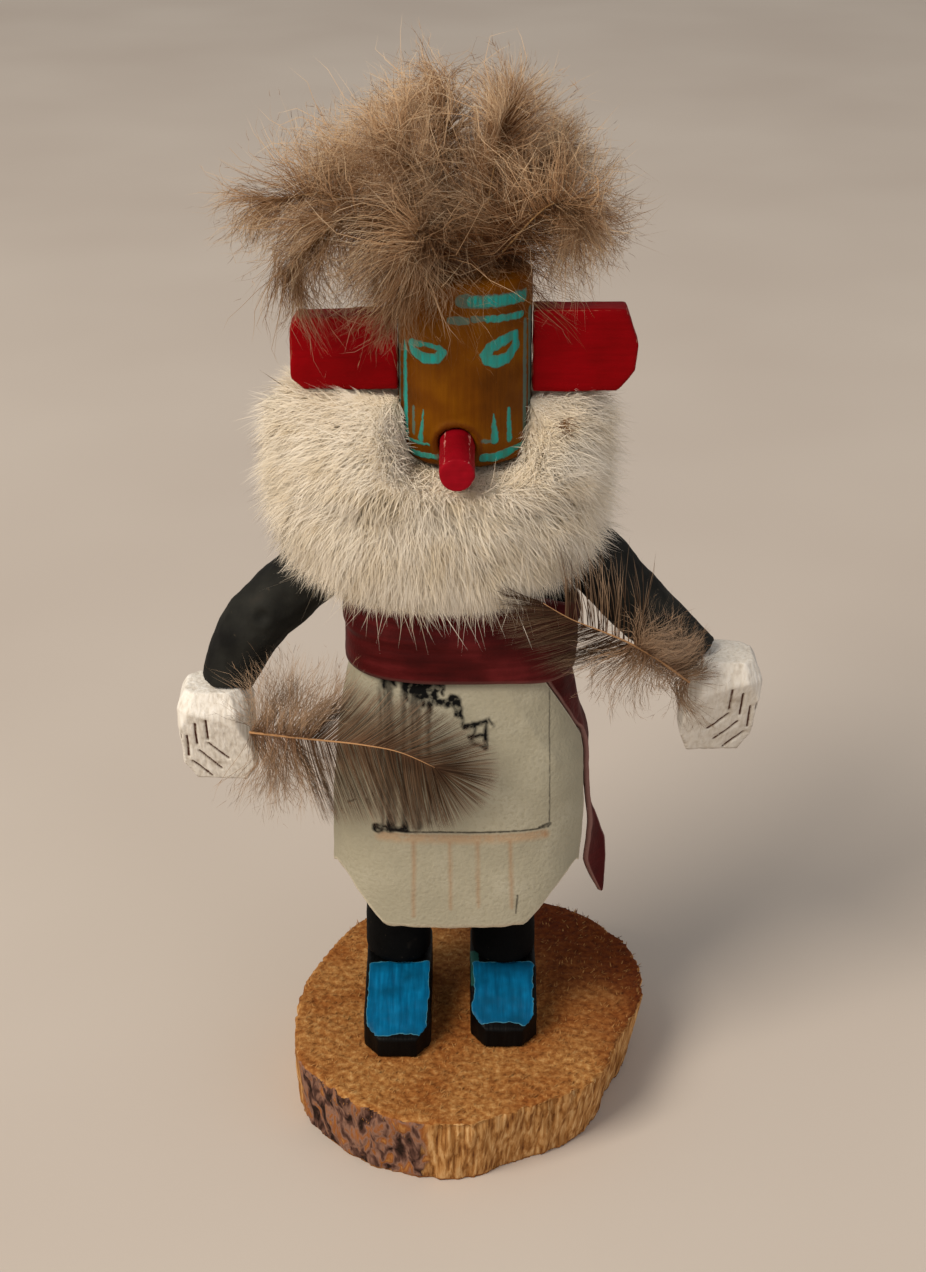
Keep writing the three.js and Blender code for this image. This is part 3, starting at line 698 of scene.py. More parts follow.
@dataclass(frozen=True)
class MaskPaint(Finish):
    """Ochre poster paint on a turned block, with turquoise and blue-grey brush strokes."""

    name: str = "ochre_mask_paint"
    roughness: float = 0.55
    gloss: float = 0.08
    radius: float = 13.9
    centre: Point = (0.4, 0.0)
    bright: tuple[Stroke, ...] = ()
    dull: tuple[Stroke, ...] = ()
    ring: tuple[Stroke, ...] = ()

    def dress(self, node: NodeMaker,
              place: Any) -> tuple[bpy.types.Node, bpy.types.Node | None]:
        """Strokes lie on the block's unrolled face: x is the way round it, y the height."""
        split = node("SeparateXYZ", {0: place})
        across = node("Math", {0: split.outputs["X"], 1: self.centre[0] * MM},
                      operation="SUBTRACT")
        ahead = node("Math", {0: self.centre[1] * MM, 1: split.outputs["Y"]},
                     operation="SUBTRACT")
        turn = node("Math", {0: across, 1: ahead}, operation="ARCTAN2")
        arc = node("Math", {0: turn, 1: self.radius}, operation="MULTIPLY")
        rise = node("Math", {0: split.outputs["Z"], 1: 1 / MM}, operation="MULTIPLY")
        face = node("CombineXYZ", {0: arc, 1: rise, 2: 0.0})
        rag = node("TexNoise", {"Vector": place, "Scale": per_lump(1.1), "Detail": 3.0})
        shake = node("VectorMath", {0: rag.outputs["Color"], 1: (0.5, 0.5, 0.5)},
                     operation="SUBTRACT")
        face = node("VectorMath", {0: shake, 1: (0.9, 0.9, 0.0), 2: face},
                    operation="MULTIPLY_ADD")
        drawn = node("Mapping", {"Vector": place, "Scale": per_lump(0.9, 1, 1, 14)})
        grain = node("TexNoise", {"Vector": drawn, "Scale": 1.0, "Detail": 4.0})
        cloud = node("TexNoise", {"Vector": place, "Scale": per_lump(8), "Detail": 3.0})
        blotch = node("Math", {0: grain, 1: 0.25, 2: cloud}, operation="MULTIPLY_ADD")
        ochre = node("ValToRGB", {0: blotch}, stops=[
            (0.4, "#552c00"), (0.6, "#663700"), (0.85, "#774600")])
        dry = node("Math", {0: rag, 1: 0.6}, operation="MULTIPLY")
        dull = strokes_distance(node, face, self.dull)
        dull = node("Math", {0: dull, 1: dry}, operation="ADD")
        dull = node("MapRange", {0: dull, 1: 0.42, 2: 0.18})
        thin = node("Math", {0: dull, 1: 0.75}, operation="MULTIPLY")
        colour = node("Mix", {0: thin, 1: ochre, 2: "#4c7068"}, data_type="RGBA")
        bright = strokes_distance(node, face, self.bright)
        body = node("MapRange", {0: bright, 1: 0.08, 2: -0.12})
        rim = node("MapRange", {0: bright, 1: -0.1, 2: -0.75})
        blue = node("Mix", {0: rim, 1: "#3f8f83", 2: "#1f9a94"}, data_type="RGBA")
        streaky = node("MapRange", {0: grain, 1: 0.38, 2: 0.6})
        blue = node("Mix", {0: streaky, 1: "#3a7d70", 2: blue}, data_type="RGBA")
        colour = node("Mix", {0: body, 1: colour, 2: blue}, data_type="RGBA")
        ring = strokes_distance(node, face, self.ring)
        ring = node("Math", {0: ring}, operation="ABSOLUTE")
        ring = node("MapRange", {0: ring, 1: 0.75, 2: 0.25})
        ring = node("Math", {0: ring, 1: 0.7}, operation="MULTIPLY")
        colour = node("Mix", {0: ring, 1: colour, 2: "#5b2a04"}, data_type="RGBA")
        height = node("Math", {0: body, 1: 0.8, 2: grain}, operation="MULTIPLY_ADD")
        return colour, node("Bump", {"Height": height, "Distance": 0.25 * MM, "Strength": 0.7})


@dataclass(frozen=True)
class PaintedBuckskin(Finish):
    """Cream buckskin with a soft nap, painted in dry black with a thin rust line."""

    name: str = "painted_cream_buckskin"
    roughness: float = 0.88
    solid: tuple[Stroke, ...] = ()
    dry: tuple[Stroke, ...] = ()
    lines: tuple[Stroke, ...] = ()
    rust: tuple[Stroke, ...] = ()
    band: tuple[Stroke, ...] = ()

    def dress(self, node: NodeMaker,
              place: Any) -> tuple[bpy.types.Node, bpy.types.Node | None]:
        """Paint lies on the front only: x across it and y the height."""
        split = node("SeparateXYZ", {0: place})
        front = node("MapRange", {0: split.outputs["Y"], 1: 0.0, 2: -4 * MM})
        flat = node("CombineXYZ", {0: split.outputs["X"], 1: split.outputs["Z"], 2: 0.0})
        in_mm = node("VectorMath", {0: flat, "Scale": 1 / MM}, operation="SCALE")
        rag = node("TexNoise", {"Vector": place, "Scale": per_lump(1.6), "Detail": 4.0})
        shake = node("VectorMath", {0: rag.outputs["Color"], 1: (0.5, 0.5, 0.5)},
                     operation="SUBTRACT")
        sheet = node("VectorMath", {0: shake, 1: (1.1, 1.3, 0.0), 2: in_mm},
                     operation="MULTIPLY_ADD")
        tidy = node("VectorMath", {0: shake, 1: (0.5, 0.5, 0.0), 2: in_mm},
                    operation="MULTIPLY_ADD")
        nap = node("TexNoise", {"Vector": place, "Scale": per_lump(0.9), "Detail": 4.0})
        cloud = node("TexNoise", {"Vector": place, "Scale": per_lump(12), "Detail": 3.0})
        colour = node("ValToRGB", {0: cloud}, stops=[
            (0.3, "#9b9682"), (0.5, "#aaa48f"), (0.72, "#bab5a2")])
        fleck = node("MapRange", {0: nap, 1: 0.36, 2: 0.5, 3: 0.0, 4: 0.5})
        colour = node("Mix", {0: fleck, 1: "#a19b86", 2: colour}, data_type="RGBA")
        drawn = node("Mapping", {"Vector": place, "Scale": per_lump(0.7, 1, 1, 14)})
        hairs = node("TexNoise", {"Vector": drawn, "Scale": 1.0, "Detail": 4.0})
        marks = (
            (self.band, in_mm, 0.9, -0.6, 0.5, "#b58d66", rag),
            (self.rust, tidy, 0.5, -0.5, 0.5, "#9c6a3d", hairs),
            (self.dry, sheet, 0.5, -0.4, 0.8, "#1c1814", hairs),
            (self.solid, sheet, 0.5, -0.2, 1.0, "#080808", rag),
            (self.lines, tidy, 0.25, -0.1, 0.9, "#1b1512", rag),
        )
        for strokes, where, outer, inner, cover, code, patch in marks:
            gone = strokes_distance(node, where, strokes)
            inside = node("MapRange", {0: gone, 1: outer, 2: inner})
            worn = node("MapRange", {0: patch, 1: 0.3, 2: 0.5, 3: 0.45, 4: 1.0})
            share = node("Math", {0: inside, 1: worn}, operation="MULTIPLY")
            share = node("Math", {0: share, 1: front}, operation="MULTIPLY")
            share = node("Math", {0: share, 1: cover}, operation="MULTIPLY")
            colour = node("Mix", {0: share, 1: colour, 2: code}, data_type="RGBA")
        cut = node("Attribute", attribute_name="cut").outputs["Fac"]
        colour = node("Mix", {0: cut, 1: colour, 2: "#e6dcc4"}, data_type="RGBA")
        height = node("Math", {0: cloud, 1: 0.5, 2: nap}, operation="MULTIPLY_ADD")
        return colour, node("Bump", {"Height": height, "Distance": 0.35 * MM, "Strength": 0.7})


@dataclass(frozen=True)
class MaroonLeather(Finish):
    """Dyed garment leather, smooth on its face and pale and fibrous where it is cut."""

    name: str = "dyed_maroon_leather"
    roughness: float = 0.6
    gloss: float = 0.1

    def dress(self, node: NodeMaker,
              place: Any) -> tuple[bpy.types.Node, bpy.types.Node | None]:
        """Uneven dye, fine pores and long creases round the waist."""
        cloud = node("TexNoise", {"Vector": place, "Scale": per_lump(10), "Detail": 4.0})
        pores = node("TexVoronoi", {"Vector": place, "Scale": per_lump(0.7)})
        drawn = node("Mapping", {"Vector": place, "Scale": per_lump(1.5, 9, 9, 1)})
        crease = node("TexNoise", {"Vector": drawn, "Scale": 1.0, "Detail": 3.0})
        dye = node("Math", {0: crease, 1: 0.6, 2: cloud}, operation="MULTIPLY_ADD")
        colour = node("ValToRGB", {0: dye}, stops=[
            (0.5, "#340707"), (0.8, "#480d0d"), (1.05, "#5c1819")])
        cut = node("Attribute", attribute_name="cut").outputs["Fac"]
        colour = node("Mix", {0: cut, 1: colour, 2: "#8f6a62"}, data_type="RGBA")
        height = node("Math", {0: pores.outputs["Distance"], 1: 0.3, 2: crease},
                      operation="MULTIPLY_ADD")
        return colour, node("Bump", {"Height": height, "Distance": 0.3 * MM, "Strength": 0.6})


@dataclass(frozen=True)
class HairColour(Finish):
    """Colour of hair or down along each strand, varied from one strand to the next."""

    name: str = "rabbit_fur_hair"
    roughness: float = 0.75
    stops: tuple[tuple[float, str], ...] = ((0.0, "#8a755a"), (1.0, "#f0e6d4"))
    dark: str = "#b9a48a"
    patch: float = 9.0
    quill: str = "#c39a70"

    def dress(self, node: NodeMaker,
              place: Any) -> tuple[bpy.types.Node, bpy.types.Node | None]:
        """Root to tip colour, times a tone for each strand and for each patch."""
        along = node("Attribute", attribute_name="along").outputs["Fac"]
        tone = node("Attribute", attribute_name="tone").outputs["Fac"]
        colour = node("ValToRGB", {0: along}, stops=self.stops)
        cloud = node("TexNoise", {"Vector": place, "Scale": per_lump(self.patch),
                                  "Detail": 2.0})
        share = node("Math", {0: cloud, 1: tone}, operation="MULTIPLY")
        share = node("MapRange", {0: share, 1: 0.1, 2: 0.45})
        shade = node("Mix", {0: share, 1: self.dark, 2: "#ffffff"}, data_type="RGBA")
        colour = node("Mix", {0: 1.0, 1: colour, 2: shade}, data_type="RGBA",
                      blend_type="MULTIPLY")
        quill = node("Attribute", attribute_name="quill").outputs["Fac"]
        return node("Mix", {0: quill, 1: colour, 2: self.quill}, data_type="RGBA"), None


# ------------------------------------------------------------------------------ log slice


@dataclass
class LogSlice:
    """The slice of branch that the figure stands on."""

    height: float = 19.5
    voxel: float = 0.82
    splinters: int = 4200
    hanging: int = 500
    bark_turn: float = -128.0
    bark_reach: float = 34.0

    def build(self) -> None:
        """Tears the sawn top, splits the sides and adds the standing splinters."""
        piece = carved_copy("base_slice", "sawn_log_slice", self.voxel)
        carve(piece, self.tear)
        places, normals = vertex_places(piece.data), vertex_normals(piece.data)
        under = (normals[:, 2] < -0.6) & (places[:, 2] < 2 * MM)
        places[:, 2] = np.where(under, 0.0, np.maximum(places[:, 2], 0.0))
        put_places(piece.data, places)
        self.mark(piece, places, normals)
        rng = np.random.default_rng(11)
        bristle = self.bristles(rng, places, normals).mesh("splinters")
        places = vertex_places(bristle.data)
        note(bristle.data, "ends", np.ones(len(places)))
        note(bristle.data, "bark", np.zeros(len(places)))
        note(bristle.data, "heartwood_and_shade", self.heartwood_and_shade(places))
        join([piece, bristle])
        install(piece, SawnJuniper(), Slot.SAWN_WOOD, "base_slice")

    def tear(self, places: np.ndarray, normals: np.ndarray) -> np.ndarray:
        """Depth of the saw's tearing on top and of the long splits down the sides."""
        z = places[:, 2] / MM
        top = smooth(normals[:, 2], 0.45, 0.85)
        side = 1 - smooth(np.abs(normals[:, 2]), 0.35, 0.75)
        nap = 0.5 * value_noise(places, 1.3, 1) + 0.32 * value_noise(places, 2.6, 2)
        nap = nap + 0.3 * value_noise(places, 7.0, 3)
        kerf = 0.1 * np.sin((places[:, 0] * 0.55 + places[:, 1] * 0.83) / MM * 2.1)
        torn = np.clip(0.42 * nap + kerf - 0.12, -0.9, 0.22)
        fibre = 0.5 * value_noise(places, (1.1, 1.1, 15), 4)
        fibre = fibre + 0.4 * value_noise(places, (2.7, 2.7, 26), 5)
        split = -1.3 * smooth(value_noise(places, (1.7, 1.7, 19), 6), 0.4, 0.72)
        bark = self.bark(places)
        chunk = 0.75 * value_noise(places, (3.4, 3.4, 6), 7) + 0.3 * value_noise(places, 1.4, 8)
        rim = smooth(z, self.height - 5, self.height) * smooth(value_noise(places, 2.2, 9), 0, 0.6)
        flank = (1 - bark) * (fibre + split) + bark * chunk - 0.9 * rim
        return top * torn + side * np.clip(flank, -2.2, 0.3)

    def bark(self, places: np.ndarray) -> np.ndarray:
        """Share of bark left on the side: a patch at the front right hand and more behind."""
        turn = np.degrees(np.arctan2(places[:, 1], places[:, 0]))
        share = np.zeros(len(turn))
        for middle, reach in ((self.bark_turn, self.bark_reach), (95.0, 60.0)):
            away = np.abs((turn - middle + 180) % 360 - 180)
            share = np.maximum(share, 1 - smooth(away, reach * 0.55, reach))
        return share

    @staticmethod
    def heartwood_and_shade(places: np.ndarray) -> np.ndarray:
        """Share of dark heartwood and painted shade, more towards the back left."""
        away = (places[:, 0] * 0.75 + places[:, 1] * 0.66) / MM
        return smooth(away + 8 * value_noise(places, 12, 21), 6, 46)

    def mark(self, piece: bpy.types.Object, places: np.ndarray, normals: np.ndarray) -> None:
        """Notes end grain, bark, and the darker heartwood with its painted shade, for the
        material.
        """
        note(piece.data, "ends", smooth(np.abs(normals[:, 2]), 0.25, 0.6))
        note(piece.data, "bark", self.bark(places))
        note(piece.data, "heartwood_and_shade", self.heartwood_and_shade(places))
        note(piece.data, "tone", np.zeros(len(places)))

    def bristles(self, rng: np.random.Generator, places: np.ndarray,
                 normals: np.ndarray) -> Strands:
        """Splinters that stand on the top and hang from its rim.

        Args:
            rng: Source of random numbers.
            places: The carved slice's vertices.
            normals: Their normals.

        Returns:
            The splinters, as short flat strands.
        """
        on_top = np.flatnonzero((normals[:, 2] > 0.5) & (places[:, 2] > 0.012))
        on_rim = np.flatnonzero((np.abs(normals[:, 2]) < 0.6) & (places[:, 2] > 0.0135))
        roots = np.concatenate([rng.choice(on_top, self.splinters),
                                rng.choice(on_rim, self.hanging)])
        hanging = np.arange(len(roots)) >= self.splinters
        turn = rng.normal(0.9, 0.8, len(roots))
        flat = np.stack([np.cos(turn), np.sin(turn), np.full(len(roots), 0.28)], axis=1)
        down = normals[roots] * 0.25 + np.array([0, 0, -1.0]) + rng.normal(0, 0.25, flat.shape)
        ahead = unit(np.where(hanging[:, None], down, flat))
        length = np.where(hanging, rng.uniform(0.4, 1.0, len(roots)),
                          rng.uniform(0.7, 2.0, len(roots))) * MM
        share = np.linspace(0, 1, 3)[None, :, None]
        start = places[roots] - normals[roots] * 0.2 * MM
        points = start[:, None] + ahead[:, None] * length[:, None, None] * share
        points[:, :, 2] += (share[:, :, 0] * rng.uniform(-0.3, 0.5, (len(roots), 1))) * MM
        widths = rng.uniform(0.18, 0.4, (len(roots), 1)) * MM * np.array([[1.0, 0.8, 0.0]])
        tone = rng.uniform(0.0, 0.9, len(roots)) ** 1.6
        return Strands(points, widths, normals[roots], tone)


# ------------------------------------------------------------------------------ carved figure


@dataclass
class CarvedFigure:
    """Torso with legs, boots, arms and fists, each a knife-cut piece of wood."""

    ankle_x: dict[Side, float] = field(default_factory=lambda: {Side.RIGHT: -15.5, Side.LEFT: 9.7})
    toe_y: dict[Side, float] = field(default_factory=lambda: {Side.RIGHT: -19.7, Side.LEFT: -16.0})
    boot_half: float = 7.9
    knot: Point = (-43.7, -4.0, 128.2)
    glue: Point = (-58.5, -6.0, 112.2)
    wrist: dict[Side, Point] = field(default_factory=lambda: {
        Side.RIGHT: (-56.0, 0.5, 109.6), Side.LEFT: (58.4, 0.5, 117.3)})
    tilt: dict[Side, float] = field(default_factory=lambda: {Side.RIGHT: 0.03, Side.LEFT: 0.06})
    cut_width: float = 0.3
    cuts: tuple[tuple[Point, Point], ...] = (
        ((6.6, -4.2, -11.4), (7.0, -1.7, -18.0)), ((4.2, -6.3, -7.4), (4.6, -3.6, -14.2)),
        ((1.6, -7.2, -6.2), (1.9, -4.8, -12.4)), ((6.4, -1.2, -19.8), (2.4, 0.1, -24.8)),
        ((4.4, -2.8, -16.3), (-0.1, -1.3, -22.1)), ((1.9, -4.2, -13.7), (-2.1, -3.1, -18.6)),
        ((8.3, -4.2, -9.2), (8.3, -4.2, -17.8)), ((8.3, -0.6, -9.2), (8.3, -0.6, -17.8)),
        ((8.3, 3.0, -9.2), (8.3, 3.0, -17.8)))

    def build(self) -> None:
        """Carves and paints every piece of the figure below the head."""
        body = carved_copy("body", "painted_torso_and_legs", 1.5)
        carve(body, lambda p, n: 0.3 * value_noise(p, 7, 31) + 0.1 * value_noise(p, 1.6, 32))
        # Painted shade: the torso and legs take a darker copy of the arms' black paint, as they
        # stand in the kilt's shade.
        paint = BlackPaint("matt_black_body_paint", lit="#0a0a0a", deep="#040404", gloss=0.06)
        install(body, paint, Slot.BLACK_PAINT, "body")
        for side in Side:
            self.boot(side)
            self.arm(side)
            self.fist(side)

    def boot(self, side: Side) -> None:
        """Carves one boot and marks its blue instep."""
        piece = carved_copy(f"boot_{side.word}", f"painted_boot_{side.word}", 0.5, relax=1)
        carve(piece, lambda p, n: 0.14 * value_noise(p, 3.0, 33) + 0.07 * value_noise(p, 1.0, 34))
        places, normals = vertex_places(piece.data), vertex_normals(piece.data)
        x = places[:, 0] / MM - self.ankle_x[side]
        y, z = places[:, 1] / MM, places[:, 2] / MM
        waver = 0.55 * value_noise(places, 3.6, 39) + 0.3 * value_noise(places, 1.1, 40)
        field_ = smooth(normals[:, 2], 0.3, 0.62)
        field_ = field_ * smooth(self.boot_half - np.abs(x) + waver, 0.3, 1.2)
        field_ = field_ * smooth(y - self.toe_y[side] + waver, 0.7, 1.9)
        field_ = field_ * smooth(-y + waver, -2.5, -0.5)
        note(piece.data, "blue", field_)
        teal = smooth(-x, 5.0, 6.6) * smooth(z, 29.3, 30.3) * smooth(-y, -9, -4)
        note(piece.data, "teal", teal * float(side is Side.LEFT))
        install(piece, BootPaint(), Slot.BOOT_PAINT, f"boot_{side.word}")

    def arm(self, side: Side) -> None:
        """Carves one arm: knife facets along it, and the knot on the right one."""
        piece = carved_copy(f"arm_{side.word}", f"painted_arm_{side.word}", 0.75)

        def shift(places: np.ndarray, normals: np.ndarray) -> np.ndarray:
            """Facets, grain and a ringed knot."""
            out = 0.45 * value_noise(places, 6.5, 35) + 0.13 * value_noise(places, 1.6, 36)
            away = np.linalg.norm(places / MM - np.array(self.knot), axis=1)
            ring = 0.5 * np.exp(-((away - 2.4) / 0.8) ** 2) - 0.9 * np.exp(-(away / 1.2) ** 2)
            return out + ring * float(side is Side.RIGHT)

        carve(piece, shift)
        places = vertex_places(piece.data) / MM
        away = np.linalg.norm(places - np.array(self.glue), axis=1)
        note(piece.data, "wrist", smooth(-away, -3.4, -1.2) * float(side is Side.RIGHT))
        install(piece, BlackPaint("matt_black_arm_paint", glue=True), Slot.BLACK_PAINT,
                f"arm_{side.word}")

    def fist(self, side: Side) -> None:
        """Carves one fist with the knife cuts that part its fingers."""
        piece = carved_copy(f"hand_{side.word}", f"painted_fist_{side.word}", 0.4, relax=1)
        angle, top = side.value * self.tilt[side], np.array(self.wrist[side])
        swing = np.array([[math.cos(angle), 0, math.sin(angle)], [0, 1, 0],
                          [-math.sin(angle), 0, math.cos(angle)]])
        places, normals = vertex_places(piece.data), vertex_normals(piece.data)
        at = (places / MM - top) @ swing * [side.value, 1, 1]
        lean = normals @ swing * [side.value, 1, 1]
        cut = np.zeros(len(at))
        for start, end in self.cuts:
            start, end = np.array(start), np.array(end)
            share = np.clip((at - start) @ (end - start) / ((end - start) @ (end - start)), 0, 1)
            off = at - start - share[:, None] * (end - start)
            deep = np.sum(off * lean, axis=1, keepdims=True)
            away = np.linalg.norm(off - deep * lean, axis=1)
            near = np.abs(deep[:, 0]) < 2.6
            cut = np.maximum(cut, near * np.exp(-(away / self.cut_width) ** 2))
        facets = 0.2 * value_noise(places, 4.5, 37) + 0.07 * value_noise(places, (0.9, 0.9, 4), 38)
        put_places(piece.data, places + normals * ((facets - 0.5 * cut) * MM)[:, None])
        note(piece.data, "cut", cut)
        # Painted shade: faces turned downwards are greyed, and the figure's left fist a little all
        # over, as the feather above shades it.
        dull = 0.7 * smooth(-normals[:, 2], 0.3, 0.6) + 0.3 * float(side is Side.LEFT)
        note(piece.data, "under", np.clip(dull * (1 - cut), 0, 0.8))
        install(piece, ChalkWhitePaint(f"chalky_white_paint_{side.word}"), Slot.WHITE_PAINT,
                f"hand_{side.word}")


# ------------------------------------------------------------------------------ head


@dataclass
class MaskedHead:
    """Turned block with its painted face, the dowel snout and the two board ears."""

    snout_arc: float = -1.6
    snout_z: float = 171.6
    ring: float = 4.7

    def strokes(self) -> tuple[tuple[Stroke, ...], tuple[Stroke, ...], tuple[Stroke, ...]]:
        """Brush strokes on the unrolled face, as way round and height.

        Returns:
            Turquoise strokes, blue-grey strokes and the worn ring round the snout.
        """
        right_eye = brushed(
            (4.2, 190.9, 5.2, 192.4, 1.15, 1.2), (5.2, 192.4, 7.9, 193.5, 1.15, 1.2),
            (7.9, 193.5, 11.5, 194.3, 1.2, 0.9), (11.5, 194.2, 11.6, 191.6, 0.9, 1.2),
            (11.5, 191.6, 9.4, 189.7, 1.2, 1.3), (9.4, 189.7, 6.4, 189.3, 1.3, 1.3),
            (6.4, 189.4, 4.5, 190.0, 1.3, 1.2), (4.5, 190.0, 4.2, 191.0, 1.15))
        left_eye = brushed(
            (-12.8, 191.7, -11.6, 190.4, 0.85, 1.1), (-11.6, 190.4, -8.9, 189.7, 1.1, 1.15),
            (-8.9, 189.7, -6.0, 190.0, 1.15, 1.05), (-6.0, 190.0, -4.6, 191.5, 1.05, 0.9),
            (-4.6, 191.5, -5.4, 192.3, 0.8, 0.7), (-5.4, 192.3, -8.2, 192.7, 0.6, 0.5),
            (-12.6, 192.2, -8.2, 192.7, 0.8, 0.5))
        frame_ = brushed(
            (-14.8, 191.4, -15.1, 180.0, 0.65, 0.95), (-15.1, 180.0, -14.8, 171.4, 0.95, 0.8),
            (-14.8, 170.9, -7.8, 171.3, 0.4, 0.3), (-17.4, 168.6, -11.6, 168.5, 0.4, 0.6),
            (-11.6, 168.5, -5.8, 169.0, 0.6, 0.55), (3.6, 169.0, 6.4, 168.8, 0.8, 1.0),
            (6.4, 168.8, 10.2, 169.3, 1.0, 0.9), (10.2, 169.3, 16.6, 170.2, 0.9, 0.35))
        ticks = brushed(
            (-9.1, 178.6, -9.9, 172.1, 0.12, 0.75), (6.0, 178.2, 6.4, 172.6, 0.2, 0.95),
            (9.8, 178.6, 10.1, 172.0, 0.5, 0.75), (1.4, 202.2, 14.0, 201.5, 1.15, 1.2),
            (4.6, 198.4, 13.6, 197.8, 0.75, 0.75))
        dull = brushed(
            (-17.8, 190.0, -18.4, 171.0, 0.5, 0.6), (-12.1, 178.3, -12.1, 173.0, 0.35, 0.5),
            (14.9, 196.0, 15.2, 172.6, 0.7, 0.9), (1.6, 198.6, 5.0, 198.4, 0.6),
            (3.6, 172.6, 5.4, 172.5, 0.4), (-2.8, 198.3, 0.2, 198.2, 0.9, 0.7),
            (17.4, 197.5, 18.4, 171.0, 1.1, 1.1), (-0.6, 202.3, 14.4, 201.6, 1.4, 1.3))
        hole = (self.snout_arc, self.snout_z)
        ring = (Stroke(hole, (hole[0] + 0.01, hole[1]), self.ring),)
        return right_eye + left_eye + frame_ + ticks, dull, ring

    def build(self) -> None:
        """Builds the head, snout and ears."""
        head = carved_copy("head", "painted_mask_block", 0.58)
        hole = np.array([self.snout_arc, -13.9, self.snout_z])

        def shift(places: np.ndarray, normals: np.ndarray) -> np.ndarray:
            """Shallow facets down the block and a lip round the drilled hole."""
            away = np.linalg.norm((places / MM - hole) * np.array([1, 0.35, 1]), axis=1)
            lip = 0.42 * np.exp(-((away - self.ring) / 0.55) ** 2)
            grain = 0.14 * value_noise(places, (3.5, 3.5, 24), 41)
            return lip + grain + 0.05 * value_noise(places, 1.2, 42)

        carve(head, shift)
        bright, dull, ring = self.strokes()
        install(head, MaskPaint(bright=bright, dull=dull, ring=ring), Slot.OCHRE_PAINT, "head")
        snout = carved_copy("snout", "painted_dowel_snout", 0.36, relax=1)
        carve(snout, lambda p, n: (0.07 * value_noise(p, (1.2, 4, 1.2), 43)
                                   + 0.06 * value_noise(p, 0.9, 44)))
        self.mark_edges(snout, 0.16, 0.3)
        install(snout, RedPaint("brushed_red_snout_paint", light="#94091a", dark="#6f020b",
                                wear="#c8837a"), Slot.RED_PAINT, "snout")
        for side in Side:
            name = f"ear_{side.word}"
            ear = carved_copy(name, f"painted_board_{name}", 0.52, relax=1)
            carve(ear, lambda p, n: (0.1 * value_noise(p, (7, 3, 2.5), 45)
                                     + 0.05 * value_noise(p, 1.2, 46)))
            self.mark_edges(ear, 0.1, 0.3)
            install(ear, RedPaint(f"brushed_red_ear_paint_{side.word}"), Slot.RED_PAINT, name)

    @staticmethod
    def mark_edges(piece: bpy.types.Object, low: float, high: float) -> None:
        """Notes how near to a cut edge each vertex is, from how far its normal leans."""
        lean = 1 - np.abs(vertex_normals(piece.data)).max(axis=1)
        note(piece.data, "edge", smooth(lean, low, high))


# ------------------------------------------------------------------------------ clothing

WAIST_RISE = ((118.0, 22.2, 16.0), (140.0, 22.6, 16.0))  # torso half width and half depth
WAIST_POWER = 2.7
WAIST_Y = 4.0
HIP_RISE = (  # the kilt's outside: shift to the left, half width, half depth, squareness
    (54.0, 0.4, 28.9, 21.2, 3.1), (80.0, 0.4, 29.1, 20.6, 3.1), (95.0, 0.4, 28.3, 19.9, 3.0),
    (106.0, 0.1, 26.6, 19.0, 2.9), (118.0, 0.0, 24.1, 17.8, 2.7), (124.0, 0.0, 23.8, 17.6, 2.7))


def axis_x(height: np.ndarray) -> np.ndarray:
    """Middle of the leaning figure by height, in millimetres."""
    return np.clip(-1.8 + (height - 70.0) / 55.0 * 1.45, -2.2, 0.4)


def sheet_area(places: np.ndarray) -> float:
    """Area of a sheet of points, kept column by column, in square metres."""
    along, across = np.diff(places, axis=0)[:, :-1], np.diff(places, axis=1)[:-1]
    return float(np.linalg.norm(np.cross(along, across), axis=-1).sum())


def hip_points(turn: np.ndarray, height: np.ndarray, sink: float = 0.0) -> np.ndarray:
    """Points of the kilt's outer wrap at angles and heights, sunk by a depth."""
    shift, half_x, half_y, power = read_rise(HIP_RISE, height)
    flat = oval(turn, half_x - sink, half_y - sink, power)
    return np.stack([flat[..., 0] + shift + axis_x(height), flat[..., 1] + WAIST_Y, height],
                    axis=-1)


